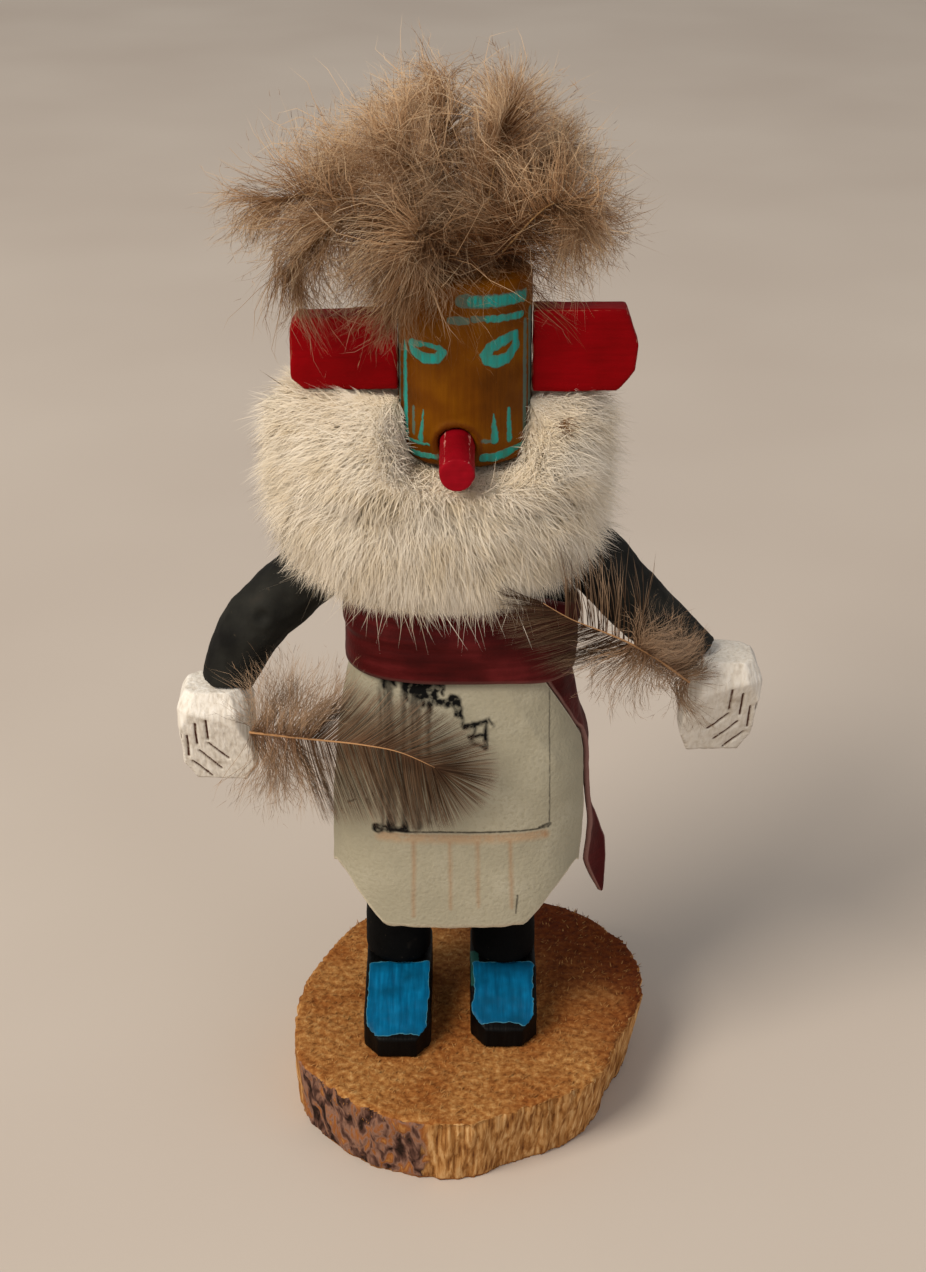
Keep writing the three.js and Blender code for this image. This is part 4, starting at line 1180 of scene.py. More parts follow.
@dataclass
class Kilt:
    """One piece of buckskin wrapped round the hips, open at the figure's left.

    Its lower corners are cut off, and the hem sinks a little again behind each front corner, so
    that the corner stands out sharp from in front.
    """

    edges: tuple[float, float] = (-14.0, -353.0)
    hem: float = 55.0
    side_rise: float = 16.0
    side_sink: float = 0.45
    corner_y: float = -12.0
    side_depth: float = 12.0
    clip_start: float = 0.55
    top: float = 124.0
    corner_low: float = 97.3
    corner_share: float = 0.112
    thickness: float = 1.2
    columns: int = 180
    rows: int = 66

    def wrap(self, share: np.ndarray, height: np.ndarray) -> np.ndarray:
        """Points on the wrap's outer face.

        Args:
            share: Way round it, from 0 at the free front edge to 1 behind.
            height: Heights in millimetres.

        Returns:
            Points in millimetres.
        """
        turn = np.radians(np.linspace(*self.edges, 361))
        levels = np.linspace(self.hem - 2, self.top, 72)
        rings = np.empty((len(levels), len(turn), 2))
        for ring, level in zip(rings, levels):
            line = hip_points(turn, np.full(turn.shape, level))[:, :2]
            steps = np.linalg.norm(np.diff(line, axis=0), axis=1)
            reach = np.insert(np.cumsum(steps), 0, 0.0)
            even = np.linspace(0, reach[-1], len(turn))
            ring[:] = np.stack([np.interp(even, reach, line[:, k]) for k in (0, 1)], axis=1)
        row = np.clip((height - levels[0]) / (levels[1] - levels[0]), 0, len(levels) - 1.001)
        column = np.clip(share, 0, 1) * (len(turn) - 1.001)
        i, j = row.astype(int), column.astype(int)
        p, q = (row - i)[..., None], (column - j)[..., None]
        low = rings[i, j] * (1 - q) + rings[i, j + 1] * q
        high = rings[i + 1, j] * (1 - q) + rings[i + 1, j + 1] * q
        return np.concatenate([low * (1 - p) + high * p, height[..., None]], axis=-1)

    def build(self) -> None:
        share, up = np.meshgrid(np.linspace(0, 1, self.columns), np.linspace(0, 1, self.rows),
                                indexing="ij")
        middle = self.wrap(share, np.full(share.shape, 80.0))
        away = np.abs(middle[..., 0] - axis_x(np.array(80.0)) - 0.4) / 29.1
        clip = np.maximum(0, (away - self.clip_start) / (1 - self.clip_start))
        behind = np.where(middle[..., 1] > WAIST_Y, 3.0, 0.0) * (1 - clip)
        sink = smooth(middle[..., 1], self.corner_y, self.corner_y + self.side_depth)
        low = self.hem + self.side_rise * (1 - self.side_sink * sink) * clip + behind
        corner = np.clip(share / self.corner_share, 0, 1)
        high = self.corner_low + (self.top - self.corner_low) * corner
        places = self.wrap(share, low + (high - low) * up)
        normal = unit(np.cross(np.gradient(places, axis=1), np.gradient(places, axis=0)))
        noise_at = places * MM
        waves = 0.45 * value_noise(noise_at, 15, 51) + 0.16 * value_noise(noise_at, 6, 52)
        waves = waves + 0.07 * value_noise(noise_at, 1.8, 53)
        front = places[..., 1] < 0
        crease = segment_distance(places * [1, 0, 1], (7.3, 0, 118), (20.5, 0, 96))
        waves = waves + front * 0.35 * np.exp(-(crease / 1.1) ** 2)
        tall = smooth(places[..., 2], 60, 75) * (1 - smooth(places[..., 2], 108, 118))
        places = places + normal * (waves * (0.35 + 0.65 * tall))[..., None]
        ragged = (up[..., None] == 0) * value_noise(noise_at, 2.3, 54)[..., None]
        places = places + np.array([0, 0, 0.35]) * ragged
        piece = new_mesh("buckskin_kilt", places.reshape(-1, 3) * MM,
                         [grid_faces(self.columns, self.rows)[:, ::-1]])
        cut = (up == 0) | (up == 1) | (share == 0) | (share == 1)
        note(piece.data, "cut", cut * 0.75)
        apply_modifier(piece, "SOLIDIFY", thickness=self.thickness * MM, offset=-1.0)
        marks = self.marks()
        install(piece, PaintedBuckskin(**marks), Slot.CREAM_LEATHER, "kilt")
        tall = round((self.top - self.hem) * MM, 3)

    @staticmethod
    def marks() -> dict[str, tuple[Stroke, ...]]:
        """The painted marks on the front, by kind of paint, as x and height."""
        solid = brushed(
            (-17.6, 118.0, -17.2, 114.9, 0.7, 0.35), (-15.6, 118.0, -14.9, 115.6, 0.7, 0.4),
            (-12.6, 117.8, -12.2, 112.6, 0.9, 0.3), (-11.6, 116.9, -6.6, 116.4, 1.7, 1.9),
            (-10.4, 114.6, -6.6, 113.4, 1.3, 1.2), (-9.2, 118.0, -8.6, 111.6, 0.9, 0.4),
            (-6.6, 118.0, -6.2, 113.0, 1.0, 0.6), (-4.4, 118.0, -4.3, 115.6, 0.5, 0.3),
            (-7.2, 112.4, -7.0, 109.8, 0.7, 0.2), (-4.6, 116.2, -4.5, 114.4, 0.35, 0.2),
            (-5.4, 112.6, -2.9, 112.3, 0.6, 0.9), (-1.9, 112.9, -0.9, 110.0, 1.35, 0.9),
            (-0.4, 109.6, -0.2, 107.2, 0.45, 0.25), (-19.1, 80.6, -18.5, 80.7, 1.15, 0.9),
            (-18.0, 80.9, -12.6, 80.9, 0.7, 0.5), (-16.4, 84.4, -16.2, 81.0, 0.4, 0.8),
            (-12.8, 83.0, -12.8, 81.0, 0.3, 0.6))
        ladder = brushed(
            (0.6, 106.8, 2.6, 107.3, 0.6, 0.5), (2.6, 107.2, 5.0, 107.9, 0.5),
            (1.4, 104.4, 4.6, 104.8, 0.35), (4.9, 107.8, 5.0, 101.6, 0.3, 0.45),
            (2.6, 107.0, 1.8, 103.2, 0.35), (2.4, 102.6, 4.8, 101.8, 0.35),
            (5.8, 108.4, 6.6, 106.6, 0.12))
        dry = brushed(
            (-18.2, 116.0, -18.0, 82.0, 0.35, 0.4), (-16.4, 117.0, -16.0, 81.0, 1.0, 1.1),
            (-12.9, 116.0, -13.0, 81.5, 0.5, 0.7), (-10.4, 114.0, -10.2, 82.0, 1.2, 1.2),
            (-7.6, 112.0, -7.4, 83.0, 0.5, 0.3))
        lines = brushed(
            (-19.4, 80.5, 19.2, 80.3, 0.14), (17.2, 80.6, 19.3, 80.9, 0.3, 0.5),
            (18.9, 115.4, 19.3, 88.7, 0.02), (19.3, 88.7, 19.4, 80.6, 0.05),
            (12.4, 63.2, 12.1, 58.4, 0.14, 0.04), (-26.0, 84.6, -24.2, 86.2, 0.12, 0.05))
        rust = brushed(
            (-11.0, 77.5, -11.3, 58.0, 0.4, 0.3), (-2.9, 77.5, -2.8, 60.0, 0.35, 0.25),
            (3.2, 77.5, 3.5, 60.5, 0.4, 0.25), (10.6, 77.5, 11.2, 60.0, 0.35, 0.35),
            (-18.0, 79.6, 18.4, 79.3, 0.2), (18.3, 78.9, 18.7, 77.9, 0.55, 0.35))
        band = brushed((-18.6, 78.6, 18.4, 78.4, 0.8))
        return {"solid": solid + ladder, "dry": dry, "lines": lines, "rust": rust, "band": band}


@dataclass
class Sash:
    """One strip of maroon leather wound round the waist, with its end hanging at the side."""

    bottom: float = 117.4
    left_drop: float = 1.6
    top: float = 137.3
    side_drop: float = 6.5
    thickness: float = 1.5
    clear: float = 3.9
    tail_path: tuple[Point, ...] = (
        (25.6, 2, 121), (26, 2, 110), (27.4, 1.9, 99), (28.6, 1.6, 84), (29.6, 1.2, 72),
        (32.8, -0.4, 54))
    tail_front: tuple[Point, ...] = ((54, -10.5), (97, -11), (104, -22), (113, -41), (121, -55))
    tail_back: float = 3.0
    tail_width: float = 9.0
    tail_thickness: float = 1.2
    tail_top: float = 121.0
    tail_end: float = 54.0
    twist: float = 0.75
    twist_reach: tuple[float, float] = (0.72, 0.97)
    fold: float = 127.3
    groove: float = 125.0
    even_width: float = 18.0

    def band(self) -> tuple[bpy.types.Object, float]:
        """The part round the waist and its area."""
        columns, rows = 240, 24
        turn, up = np.meshgrid(np.linspace(0, 2 * np.pi, columns), np.linspace(0, 1, rows),
                               indexing="ij")
        high = self.top - self.side_drop * np.abs(np.cos(turn)) ** 3
        left_front = smooth(np.cos(turn), 0.15, 0.85) * smooth(-np.sin(turn), -0.3, 0.1)
        low = self.bottom - self.left_drop * left_front
        z = low + (high - low) * up
        out = self.clear - 1.2 * smooth(z, 126.5, 135.0)
        half_x, half_y = (column + out for column in read_rise(WAIST_RISE, z))
        flat = oval(turn, half_x, half_y, WAIST_POWER)
        places = np.stack([flat[..., 0] + axis_x(z), flat[..., 1] + WAIST_Y, z], axis=-1)
        normal = unit(np.cross(np.gradient(places, axis=0), np.gradient(places, axis=1)))
        at = places * MM
        relief = 0.28 * value_noise(at, (14, 14, 5), 61) + 0.1 * value_noise(at, (7, 7, 1.6), 62)
        relief = relief + 0.35 * np.exp(-((z - self.fold) / 1.1) ** 2)
        relief = relief - 0.3 * np.exp(-((z - self.groove) / 0.9) ** 2)
        relief[-1] = relief[0]
        places = places + normal * (relief - 0.25)[..., None]
        piece = new_mesh("leather_sash", places.reshape(-1, 3) * MM, [grid_faces(columns, rows)])
        note(piece.data, "cut", ((up == 0) | (up == 1)) * 0.35)
        take_up(piece)
        bpy.ops.object.mode_set(mode="EDIT")
        bpy.ops.mesh.select_all(action="SELECT")
        bpy.ops.mesh.remove_doubles(threshold=0.02 * MM)
        bpy.ops.object.mode_set(mode="OBJECT")
        apply_modifier(piece, "SOLIDIFY", thickness=self.thickness * MM, offset=-1.0)
        return piece, sheet_area(places * MM)

    def tail(self) -> tuple[bpy.types.Object, float]:
        """The hanging end, twisted outwards to its point, and its area."""
        columns, rows = 16, 100
        across, down = np.meshgrid(np.linspace(0, 1, columns), np.linspace(0, 1, rows),
                                   indexing="ij")
        taper = np.minimum(1, (1 - down) / 0.13 + 0.06)
        twist = smooth(down, *self.twist_reach) * self.twist
        lie = unit(np.stack([np.sin(twist), np.cos(twist), 0.35 * twist], axis=-1))
        free = spline(self.tail_path, down)
        free = free + lie * ((across - 0.5) * self.tail_width * taper)[..., None]
        z = self.tail_top - (self.tail_top - self.tail_end) * down
        front, = read_rise(self.tail_front, z)
        on_hip = hip_points(np.radians(front + (self.tail_back - front) * across), z, 0.6)
        share = smooth(z, 90, 104)[..., None]
        places = free + (on_hip - free) * share
        normal = unit(np.cross(np.gradient(places, axis=1), np.gradient(places, axis=0)))
        at = places * MM
        relief = 0.5 * value_noise(at, (30, 4, 12), 63) + 0.12 * value_noise(at, 2.0, 64)
        places = places + normal * relief[..., None]
        piece = new_mesh("sash_tail", places.reshape(-1, 3) * MM,
                         [grid_faces(columns, rows)[:, ::-1]])
        note(piece.data, "cut", ((across == 0) | (across == 1)) * 0.9)
        apply_modifier(piece, "SOLIDIFY", thickness=self.tail_thickness * MM, offset=0.0)
        return piece, sheet_area(places * MM)

    def build(self) -> None:
        """Builds the band round the waist and the hanging end, which narrows to its point, and
        joins them as one piece. The strip narrows along its hanging end, so it is declared as an
        even strip of the same area: a nominal width, and the length that gives the modelled
        leather's own area. That length is shorter than the strip's real one along its middle.
        """
        (band, round_area), (tail, tail_area) = self.band(), self.tail()
        piece = join([band, tail])
        install(piece, MaroonLeather(), Slot.MAROON_LEATHER, "sash")


# ------------------------------------------------------------------------------ fur


@dataclass
class FurRuff:
    """Strip of rabbit fur wound round the neck: a hide inside and hairs over it."""

    sink: float = 3.6
    axis: Point = (-4.5, 2.0)
    head: Point = (0.4, 0.0)
    head_radius: float = 13.9
    snout: Point = (-1.2, 171.2)
    hairs: int = 96000
    rows: int = 3
    taper: tuple[float, ...] = (1.0, 0.85, 0.0)
    notch_flare: float = 0.36
    fleck: Point = (18.8, -18.0, 177.6)
    fleck_line: Point = (-0.05, -0.93, 0.36)
    fleck_radius: float = 1.0
    notch_radius: float = 23.0
    notch_bottom: float = 160.0
    longest: float = 10.5

    def outward(self, places: np.ndarray, normals: np.ndarray) -> np.ndarray:
        """How far each normal turns away from the neck or upwards, from 0 to 1."""
        ray = unit(places[:, :2] / MM - np.array(self.axis))
        return np.maximum(smooth(np.sum(normals[:, :2] * ray, axis=1), 0.05, 0.4),
                          smooth(normals[:, 2], 0.4, 0.8))

    def hide(self) -> bpy.types.Object:
        """The hide and under-fur, sunk below the hair's outer mass."""
        piece = carved_copy("fur_ruff", "rabbit_fur_hide", 1.25, relax=3)
        carve(piece, lambda p, n: (0.6 * value_noise(p, 4, 71) - self.sink)
              * self.outward(p, n) * (1 - 0.8 * smooth(n[:, 2], 0.3, 0.8)))
        self.hug_head(piece)
        apply_modifier(piece, "SMOOTH", factor=0.5, iterations=4)
        note(piece.data, "along", np.full(len(piece.data.vertices), 0.3))
        note(piece.data, "tone", np.full(len(piece.data.vertices), 0.6))
        install(piece, self.finish("rabbit_fur_hide"), Slot.RABBIT_FUR, "fur_ruff")
        return piece

    def hug_head(self, piece: bpy.types.Object) -> None:
        """Opens the chin notch towards the front and closes its walls on the head's sides."""
        places = vertex_places(piece.data) / MM
        x, y, z = places.T
        high = smooth(z, 161, 167)
        flare = np.clip(-5.0 - y, 0, 22) * self.notch_flare * high
        x = x + np.sign(x - self.head[0]) * flare * (1 - smooth(np.abs(x), 17.5, 34))
        ray = np.stack([x, y], axis=1) - np.array(self.head)
        reach = np.linalg.norm(ray, axis=1)
        share = (1 - smooth(reach, 19, 23)) * smooth(y, -11, -5) * high
        close = np.minimum(reach, self.head_radius + 0.1)
        ratio = 1 + share * (close / np.maximum(reach, 1.0) - 1)
        flat = ray * ratio[:, None] + np.array(self.head)
        put_places(piece.data, np.column_stack([flat, z]) * MM)

    @staticmethod
    def finish(name: str) -> HairColour:
        """Cream guard hairs, a little darker at their roots."""
        return HairColour(name, stops=(
            (0.0, "#dccfb6"), (0.3, "#e9dec9"), (1.0, "#f6eee0")), dark="#eee5d3", patch=9.0,
            quill="#7d5a38")

    def lengths(self, rng: np.random.Generator, here: np.ndarray,
                normals: np.ndarray) -> np.ndarray:
        """Length of each hair: short by the chin, the top and the hem, longer between."""
        by_head = np.hypot(here[:, 0] - self.head[0], here[:, 1] - self.head[1])
        chin = 0.42 + 0.58 * smooth(by_head - self.head_radius, 1, 10)
        chin = np.maximum(chin, 1 - smooth(here[:, 2], 156, 164))
        by_snout = np.hypot(here[:, 0] - self.snout[0], here[:, 2] - self.snout[1])
        chin = np.where(here[:, 1] < 0, chin * (0.3 + 0.7 * smooth(by_snout, 3, 8)), chin)
        top = 1 - 0.35 * smooth(normals[:, 2], 0.4, 0.9)
        hem = np.clip((here[:, 2] - 137.0) * 0.7 + 2.6, 2.4, 10.0) / 10.0
        uneven = rng.uniform(0.6, 1.15, len(here))
        length = self.longest * np.minimum(chin * top, hem) * uneven
        wisp = (rng.uniform(0, 1, len(here)) < 0.1) & (here[:, 2] < 144)
        return length * np.where(wisp, rng.uniform(1.3, 2.4, len(here)), 1.0)

    def grow(self, hide: bpy.types.Object) -> tuple[Strands, np.ndarray]:
        """Grows all the hairs.

        Args:
            hide: The sunk hide that they grow from.

        Returns:
            The hairs, and where each one is rooted.
        """
        rng = np.random.default_rng(5)
        mesh = hide.data
        places, normals = vertex_places(mesh) / MM, vertex_normals(mesh)
        by_head = np.hypot(places[:, 0] - self.head[0], places[:, 1] - self.head[1])
        notch = (by_head < self.notch_radius) & (places[:, 2] > self.notch_bottom)
        bare = (self.outward(places * MM, normals) < 0.3) & ~notch
        bare = bare & ~((normals[:, 2] < -0.3) & (places[:, 2] < 139))
        mesh.calc_loop_triangles()
        corners = np.empty(len(mesh.loop_triangles) * 3, np.int32)
        mesh.loop_triangles.foreach_get("vertices", corners)
        corners = corners.reshape(-1, 3)
        span = places[corners[:, 1:]] - places[corners[:, :1]]
        area = np.linalg.norm(np.cross(span[:, 0], span[:, 1]), axis=1)
        area = area * ~bare[corners].any(axis=1)
        pick = corners[rng.choice(len(corners), self.hairs, p=area / area.sum())]
        part = rng.dirichlet((1, 1, 1), self.hairs)[..., None]
        out = unit(np.sum(normals[pick] * part, axis=1))
        here = np.sum(places[pick] * part, axis=1) - out * 0.4
        notch = notch[pick[:, 0]]
        count = len(here)
        ray = unit(np.append(here[:, :2] - np.array(self.axis), np.zeros((count, 1)), axis=1))
        fan = np.clip((here[:, 0] + 5) / 26, -1.3, 1.3)[:, None] * np.array([0.75, 0, 0])
        pull = fan + np.array([0, 0, -1.0]) + ray * 1.6 * np.clip(out[:, 2:], 0, 1)
        # Hairs beside the mask lie outwards from it and forwards.
        away = np.append(here[:, :2] - np.array(self.head), np.zeros((count, 1)), axis=1)
        pull = pull + notch[:, None] * (unit(away) * 0.7 + np.array([0, -0.9, 0]))
        pull = pull + 1.1 * drift(here * MM, 15.0, 81) + 0.4 * drift(here * MM, 6.0, 85)
        flow = unit(pull - out * np.sum(pull * out, axis=1, keepdims=True))
        stray = rng.normal(0, 0.27, (count, 3))
        lift = 0.8 + 0.2 * value_noise(here * MM, 6.0, 87) + 0.5 * smooth(out[:, 2], 0.4, 0.8)
        lift = lift * (1 - 0.5 * notch)
        start = unit(flow * 0.75 + out * lift[:, None] + stray)
        end = unit(flow + out * 0.18 + np.array([0, 0, -0.3]) + stray * 1.6)
        length = self.lengths(rng, here, out)
        t = np.linspace(0, 1, self.rows)[None, :, None]
        path = start[:, None] * (t - t * t / 2) + end[:, None] * (t * t / 2)
        points = here[:, None] + path * length[:, None, None]
        tips = points[:, -1]
        cell = np.floor(here / 2.4 + drift(here * MM, 5.0, 91) * 0.8).astype(np.int64)
        _, group = np.unique(cell, axis=0, return_inverse=True)
        group = group.ravel()
        total = np.bincount(group).astype(float)
        mean = np.stack([np.bincount(group, tips[:, k]) / total for k in range(3)], axis=1)
        low = 1 - smooth(here[:, 2], 138, 148)
        gather = (0.04 + 0.16 * low) * rng.uniform(0.2, 1.8, count)
        points = points + ((mean[group] - tips) * gather[:, None])[:, None] * t ** 1.6
        width = rng.uniform(0.1, 0.17, (count, 1)) * np.array(self.taper)[None]
        # They take the light as the open fur in front of them does.
        open_out = out + 1.6 * notch[:, None] * np.array([-0.3, -1.0, 0.5])
        facing = unit(open_out + rng.normal(0, 0.12, (count, 3)))
        tone = rng.uniform(0.5, 1.0, count)
        along = unit(np.array(self.fleck_line))
        off = here - np.array(self.fleck)
        off = np.linalg.norm(off - (off @ along)[:, None] * along, axis=1)
        tone = np.where((off < self.fleck_radius) & (here[:, 1] < 0), -1.0, tone)
        return Strands(points * MM, width * MM, facing, tone), here

    def build(self) -> None:
        """Builds the hide and its hairs, in three pieces to keep each one light."""
        hairs, here = self.grow(self.hide())
        front, right = here[:, 1] < self.axis[1], here[:, 0] < self.axis[0]
        for name, pick in (("rabbit_hair_front_right", front & right),
                           ("rabbit_hair_front_left", front & ~right),
                           ("rabbit_hair_back", ~front)):
            part = Strands(hairs.points[pick], hairs.widths[pick], hairs.facing[pick],
                           hairs.tone[pick])
            install(part.mesh(name), self.finish(name), Slot.RABBIT_FUR)


# ------------------------------------------------------------------------------ feathers


@dataclass(frozen=True)
class BarbRow:
    """A row of barbs along part of a quill, all on one side of it.

    Lengths are in millimetres and angles in degrees from the quill. Each pair runs from the
    row's start to its end.
    """

    side: int
    place: tuple[float, float]
    count: int
    length: tuple[float, float]
    angle: tuple[float, float]
    curl: float = 0.0
    coil: float = 0.0
    loft: float = 0.1
    stray: float = 0.1
    wander: float = 0.15
    width: float = 0.14
    barbules: int = 0
    tone: tuple[float, float] = (0.2, 1.0)
    uneven: float = 0.28
    splits: float = 0.0
    droop: float = 0.0
    shade: float = 0.0


@dataclass
class Plume:
    """One feather: a bent quill with rows of barbs."""

    node: str
    name: str
    path: tuple[Point, ...]
    across: Point
    rows: tuple[BarbRow, ...]
    finish: HairColour
    seed: int = 0
    quill: float = 0.42
    steps: int = 6

    def barbs(self, row: BarbRow, rng: np.random.Generator) -> Strands:
        """Grows one row of barbs."""
        share = np.sort(rng.uniform(0, 1, row.count))
        place = row.place[0] + (row.place[1] - row.place[0]) * share
        root = spline(self.path, place)
        ahead = unit(spline(self.path, place + 0.01) - spline(self.path, place - 0.01))
        wide = np.array(self.across, float)
        wide = unit(wide - ahead * (ahead @ wide)[:, None])
        face = unit(np.cross(ahead, wide))
        count = len(share)
        length = np.interp(share, [0, 1], row.length)
        length = length * rng.uniform(1 - row.uneven, 1 + row.uneven * 0.3, count)
        angle = np.interp(share, [0, 1], row.angle) + rng.normal(0, 40 * row.stray, count)
        angle = angle + row.splits * np.sin(share * 43 + 2.6 * np.sin(share * 17 + self.seed))
        t = np.linspace(0, 1, self.steps)
        coil = row.curl + row.coil * rng.normal(0, 1, count)
        turned = np.radians(angle[:, None] - coil[:, None] * t[None])
        rise = rng.normal(0, row.loft, count)
        bend = rng.normal(0, row.loft, count)
        way = (np.cos(turned)[..., None] * ahead[:, None]
               + row.side * np.sin(turned)[..., None] * wide[:, None]
               + (rise[:, None] + bend[:, None] * t)[..., None] * face[:, None])
        loose = row.wander * drift(root * MM, 6.0, self.seed)[:, None]
        loose = loose + rng.normal(0, row.stray, (count, 1, 3))
        way = way - np.array([0, 0, row.droop]) * t[None, :, None]
        way = unit(way + loose * (0.3 + 1.2 * t)[None, :, None])
        step = length[:, None, None] / (self.steps - 1)
        points = root[:, None] + np.concatenate(
            [np.zeros((count, 1, 3)), np.cumsum(way[:, :-1] * step, axis=1)], axis=1)
        ripple = drift(points * MM, 5.0, self.seed + 7) * row.wander * 3.0 * t[None, :, None]
        points = points + ripple
        taper = row.width * (1 - 0.7 * t ** 1.5)
        widths = np.broadcast_to(taper, (count, self.steps)) * rng.uniform(0.8, 1.2, (count, 1))
        face = face * np.sign(-face[:, 1:2] + 1e-6)
        facing = unit(face + 0.45 * way[:, 2] + rng.normal(0, 0.2, (count, 3)))
        tone = rng.uniform(*row.tone, count) * (1 - row.shade * (1 - smooth(place, 0.05, 0.45)))
        return Strands(points * MM, widths * MM, facing, tone)

    def barbules(self, row: BarbRow, barbs: Strands, rng: np.random.Generator) -> Strands:
        """Grows the finest down, short hairs along the barbs."""
        pick = rng.integers(0, len(barbs.points), row.barbules)
        place = rng.integers(1, self.steps - 1, row.barbules)
        root = barbs.points[pick, place]
        root = root + (barbs.points[pick, place + 1] - root) * rng.uniform(0, 1, (row.barbules, 1))
        ahead = unit(barbs.points[pick, place + 1] - barbs.points[pick, place])
        way = unit(ahead + unit(rng.normal(0, 1, ahead.shape)) * 0.5)
        end = unit(way + ahead * 0.6 + rng.normal(0, 0.2, ahead.shape))
        length = rng.uniform(1.4, 3.0, (row.barbules, 1)) * MM
        points = np.stack([root, root + way * length * 0.5,
                           root + (way + end) * length * 0.5], axis=1)
        widths = np.tile(np.array([[1.0, 0.8, 0.0]]) * 0.07 * MM, (row.barbules, 1))
        facing = unit(barbs.facing[pick] + rng.normal(0, 0.4, ahead.shape))
        tone = np.clip(barbs.tone[pick] + rng.normal(0, 0.15, row.barbules), 0, 1)
        return Strands(points, widths, facing, tone)

    def shaft(self) -> bpy.types.Object:
        """The quill, a tapered tube."""
        place = np.linspace(0, 0.97, 26)
        middle = spline(self.path, place)
        ahead = unit(np.gradient(middle, axis=0))
        wide = np.array(self.across, float)
        wide = unit(wide - ahead * (ahead @ wide)[:, None])
        face = np.cross(ahead, wide)
        turn = np.linspace(0, 2 * np.pi, 7)[:-1]
        radius = self.quill * (1 - 0.82 * place)
        ring = (np.cos(turn)[None, :, None] * wide[:, None]
                + np.sin(turn)[None, :, None] * face[:, None])
        places = (middle[:, None] + ring * radius[:, None, None]).reshape(-1, 3) * MM
        i, j = np.meshgrid(np.arange(25), np.arange(6), indexing="ij")
        a, b = i * 6 + j, i * 6 + (j + 1) % 6
        faces = np.stack([a, a + 6, b + 6, b], axis=-1).reshape(-1, 4)
        caps = np.array([np.arange(6), np.arange(155, 149, -1)])
        piece = new_mesh(self.name, places, [faces, caps])
        note(piece.data, "quill", np.ones(len(places)))
        note(piece.data, "along", np.full(len(places), 0.5))
        note(piece.data, "tone", np.full(len(places), 0.5))
        return piece

    def build(self) -> None:
        """Builds the feather as one piece."""
        rng = np.random.default_rng(self.seed + 100)
        parts = [self.shaft()]
        for number, row in enumerate(self.rows):
            barbs = self.barbs(row, rng)
            groups = [barbs]
            if row.barbules:
                groups.append(self.barbules(row, barbs, rng))
            for group in groups:
                parts.append(group.mesh(f"{self.name}_barbs_{number}"))
                note(parts[-1].data, "quill", np.zeros(len(parts[-1].data.vertices)))
        install(join(parts), self.finish, Slot.DOWN_FEATHER, self.node)


@dataclass
class HandFeathers:
    """The two breast feathers glued to the fists: down at the base, a brown vane beyond."""

    right: tuple[Point, ...] = (
        (-47.4, -8.6, 101.6), (-39.0, -14.6, 104.0), (-31.0, -18.0, 105.0), (-22.0, -20.3, 105.2),
        (-13.6, -21.2, 103.8), (-4.8, -21.4, 99.4))
    left: tuple[Point, ...] = (
        (49.6, -9.0, 114.5), (41.0, -13.3, 123.0), (35.6, -15.5, 127.4), (29.2, -18.0, 131.6),
        (22.4, -21.0, 136.0), (15.6, -23.4, 141.4))

    def build(self) -> None:
        """Builds both feathers."""
        vane = HairColour("brown_feather_vane", stops=(
            (0.0, "#876449"), (0.35, "#a28467"), (1.0, "#b69d84")),
            dark="#54463b", patch=12.0, quill="#b98d62")
        down = {"coil": 26, "loft": 0.45, "stray": 0.2, "wander": 0.8, "width": 0.11,
                "barbules": 900, "tone": (0.6, 1.0)}
        ball = {**down, "coil": 50, "stray": 0.3, "wander": 1.3}
        web = {"coil": 1.2, "loft": 0.03, "stray": 0.01, "wander": 0.03, "width": 0.088,
               "tone": (0.2, 0.65), "uneven": 0.06, "splits": 1.2}
        Plume("hand_feather_right", "breast_feather_right", self.right, (0.28, 0, 1), (
            BarbRow(1, (0.0, 0.34), 460, (20, 21), (58, 42), **down),
            BarbRow(-1, (0.0, 0.26), 340, (18, 20), (56, 76), **down),
            BarbRow(1, (0.3, 0.96), 460, (20, 15.5), (42, 42), -14, **web),
            BarbRow(1, (0.95, 1.0), 150, (15.5, 13.5), (44, 2), **web),
            BarbRow(-1, (0.26, 0.8), 380, (21, 21.5), (80, 66), 8, **web),
            BarbRow(-1, (0.8, 0.97), 200, (21.5, 17), (66, 48), 8, **web),
            BarbRow(-1, (0.95, 1.0), 170, (17.0, 13.5), (50, 2), **web)), vane, seed=3,
            quill=0.34).build()
        Plume("hand_feather_left", "breast_feather_left", self.left, (0.75, 0, 1), (
            BarbRow(1, (0.0, 0.36), 480, (8, 13), (112, 66), **ball),
            BarbRow(-1, (0.0, 0.4), 500, (11, 16), (112, 62), **ball),
            BarbRow(1, (0.3, 0.84), 76, (25, 20), (56, 50), 10, 6, 0.06, 0.06, 0.12, 0.17, 0,
                    (0.2, 0.55)),
            BarbRow(-1, (0.32, 0.86), 330, (20, 16), (54, 42), 8, 6, 0.05, 0.04, 0.2, 0.085, 0,
                    (0.1, 0.5), 0.2, 4.0),
            BarbRow(-1, (0.82, 1.0), 140, (16, 11), (44, 8), 4, 6, 0.05, 0.04, 0.15, 0.09, 0,
                    (0.0, 0.4), 0.2, 3.0)), vane, seed=4, quill=0.34).build()


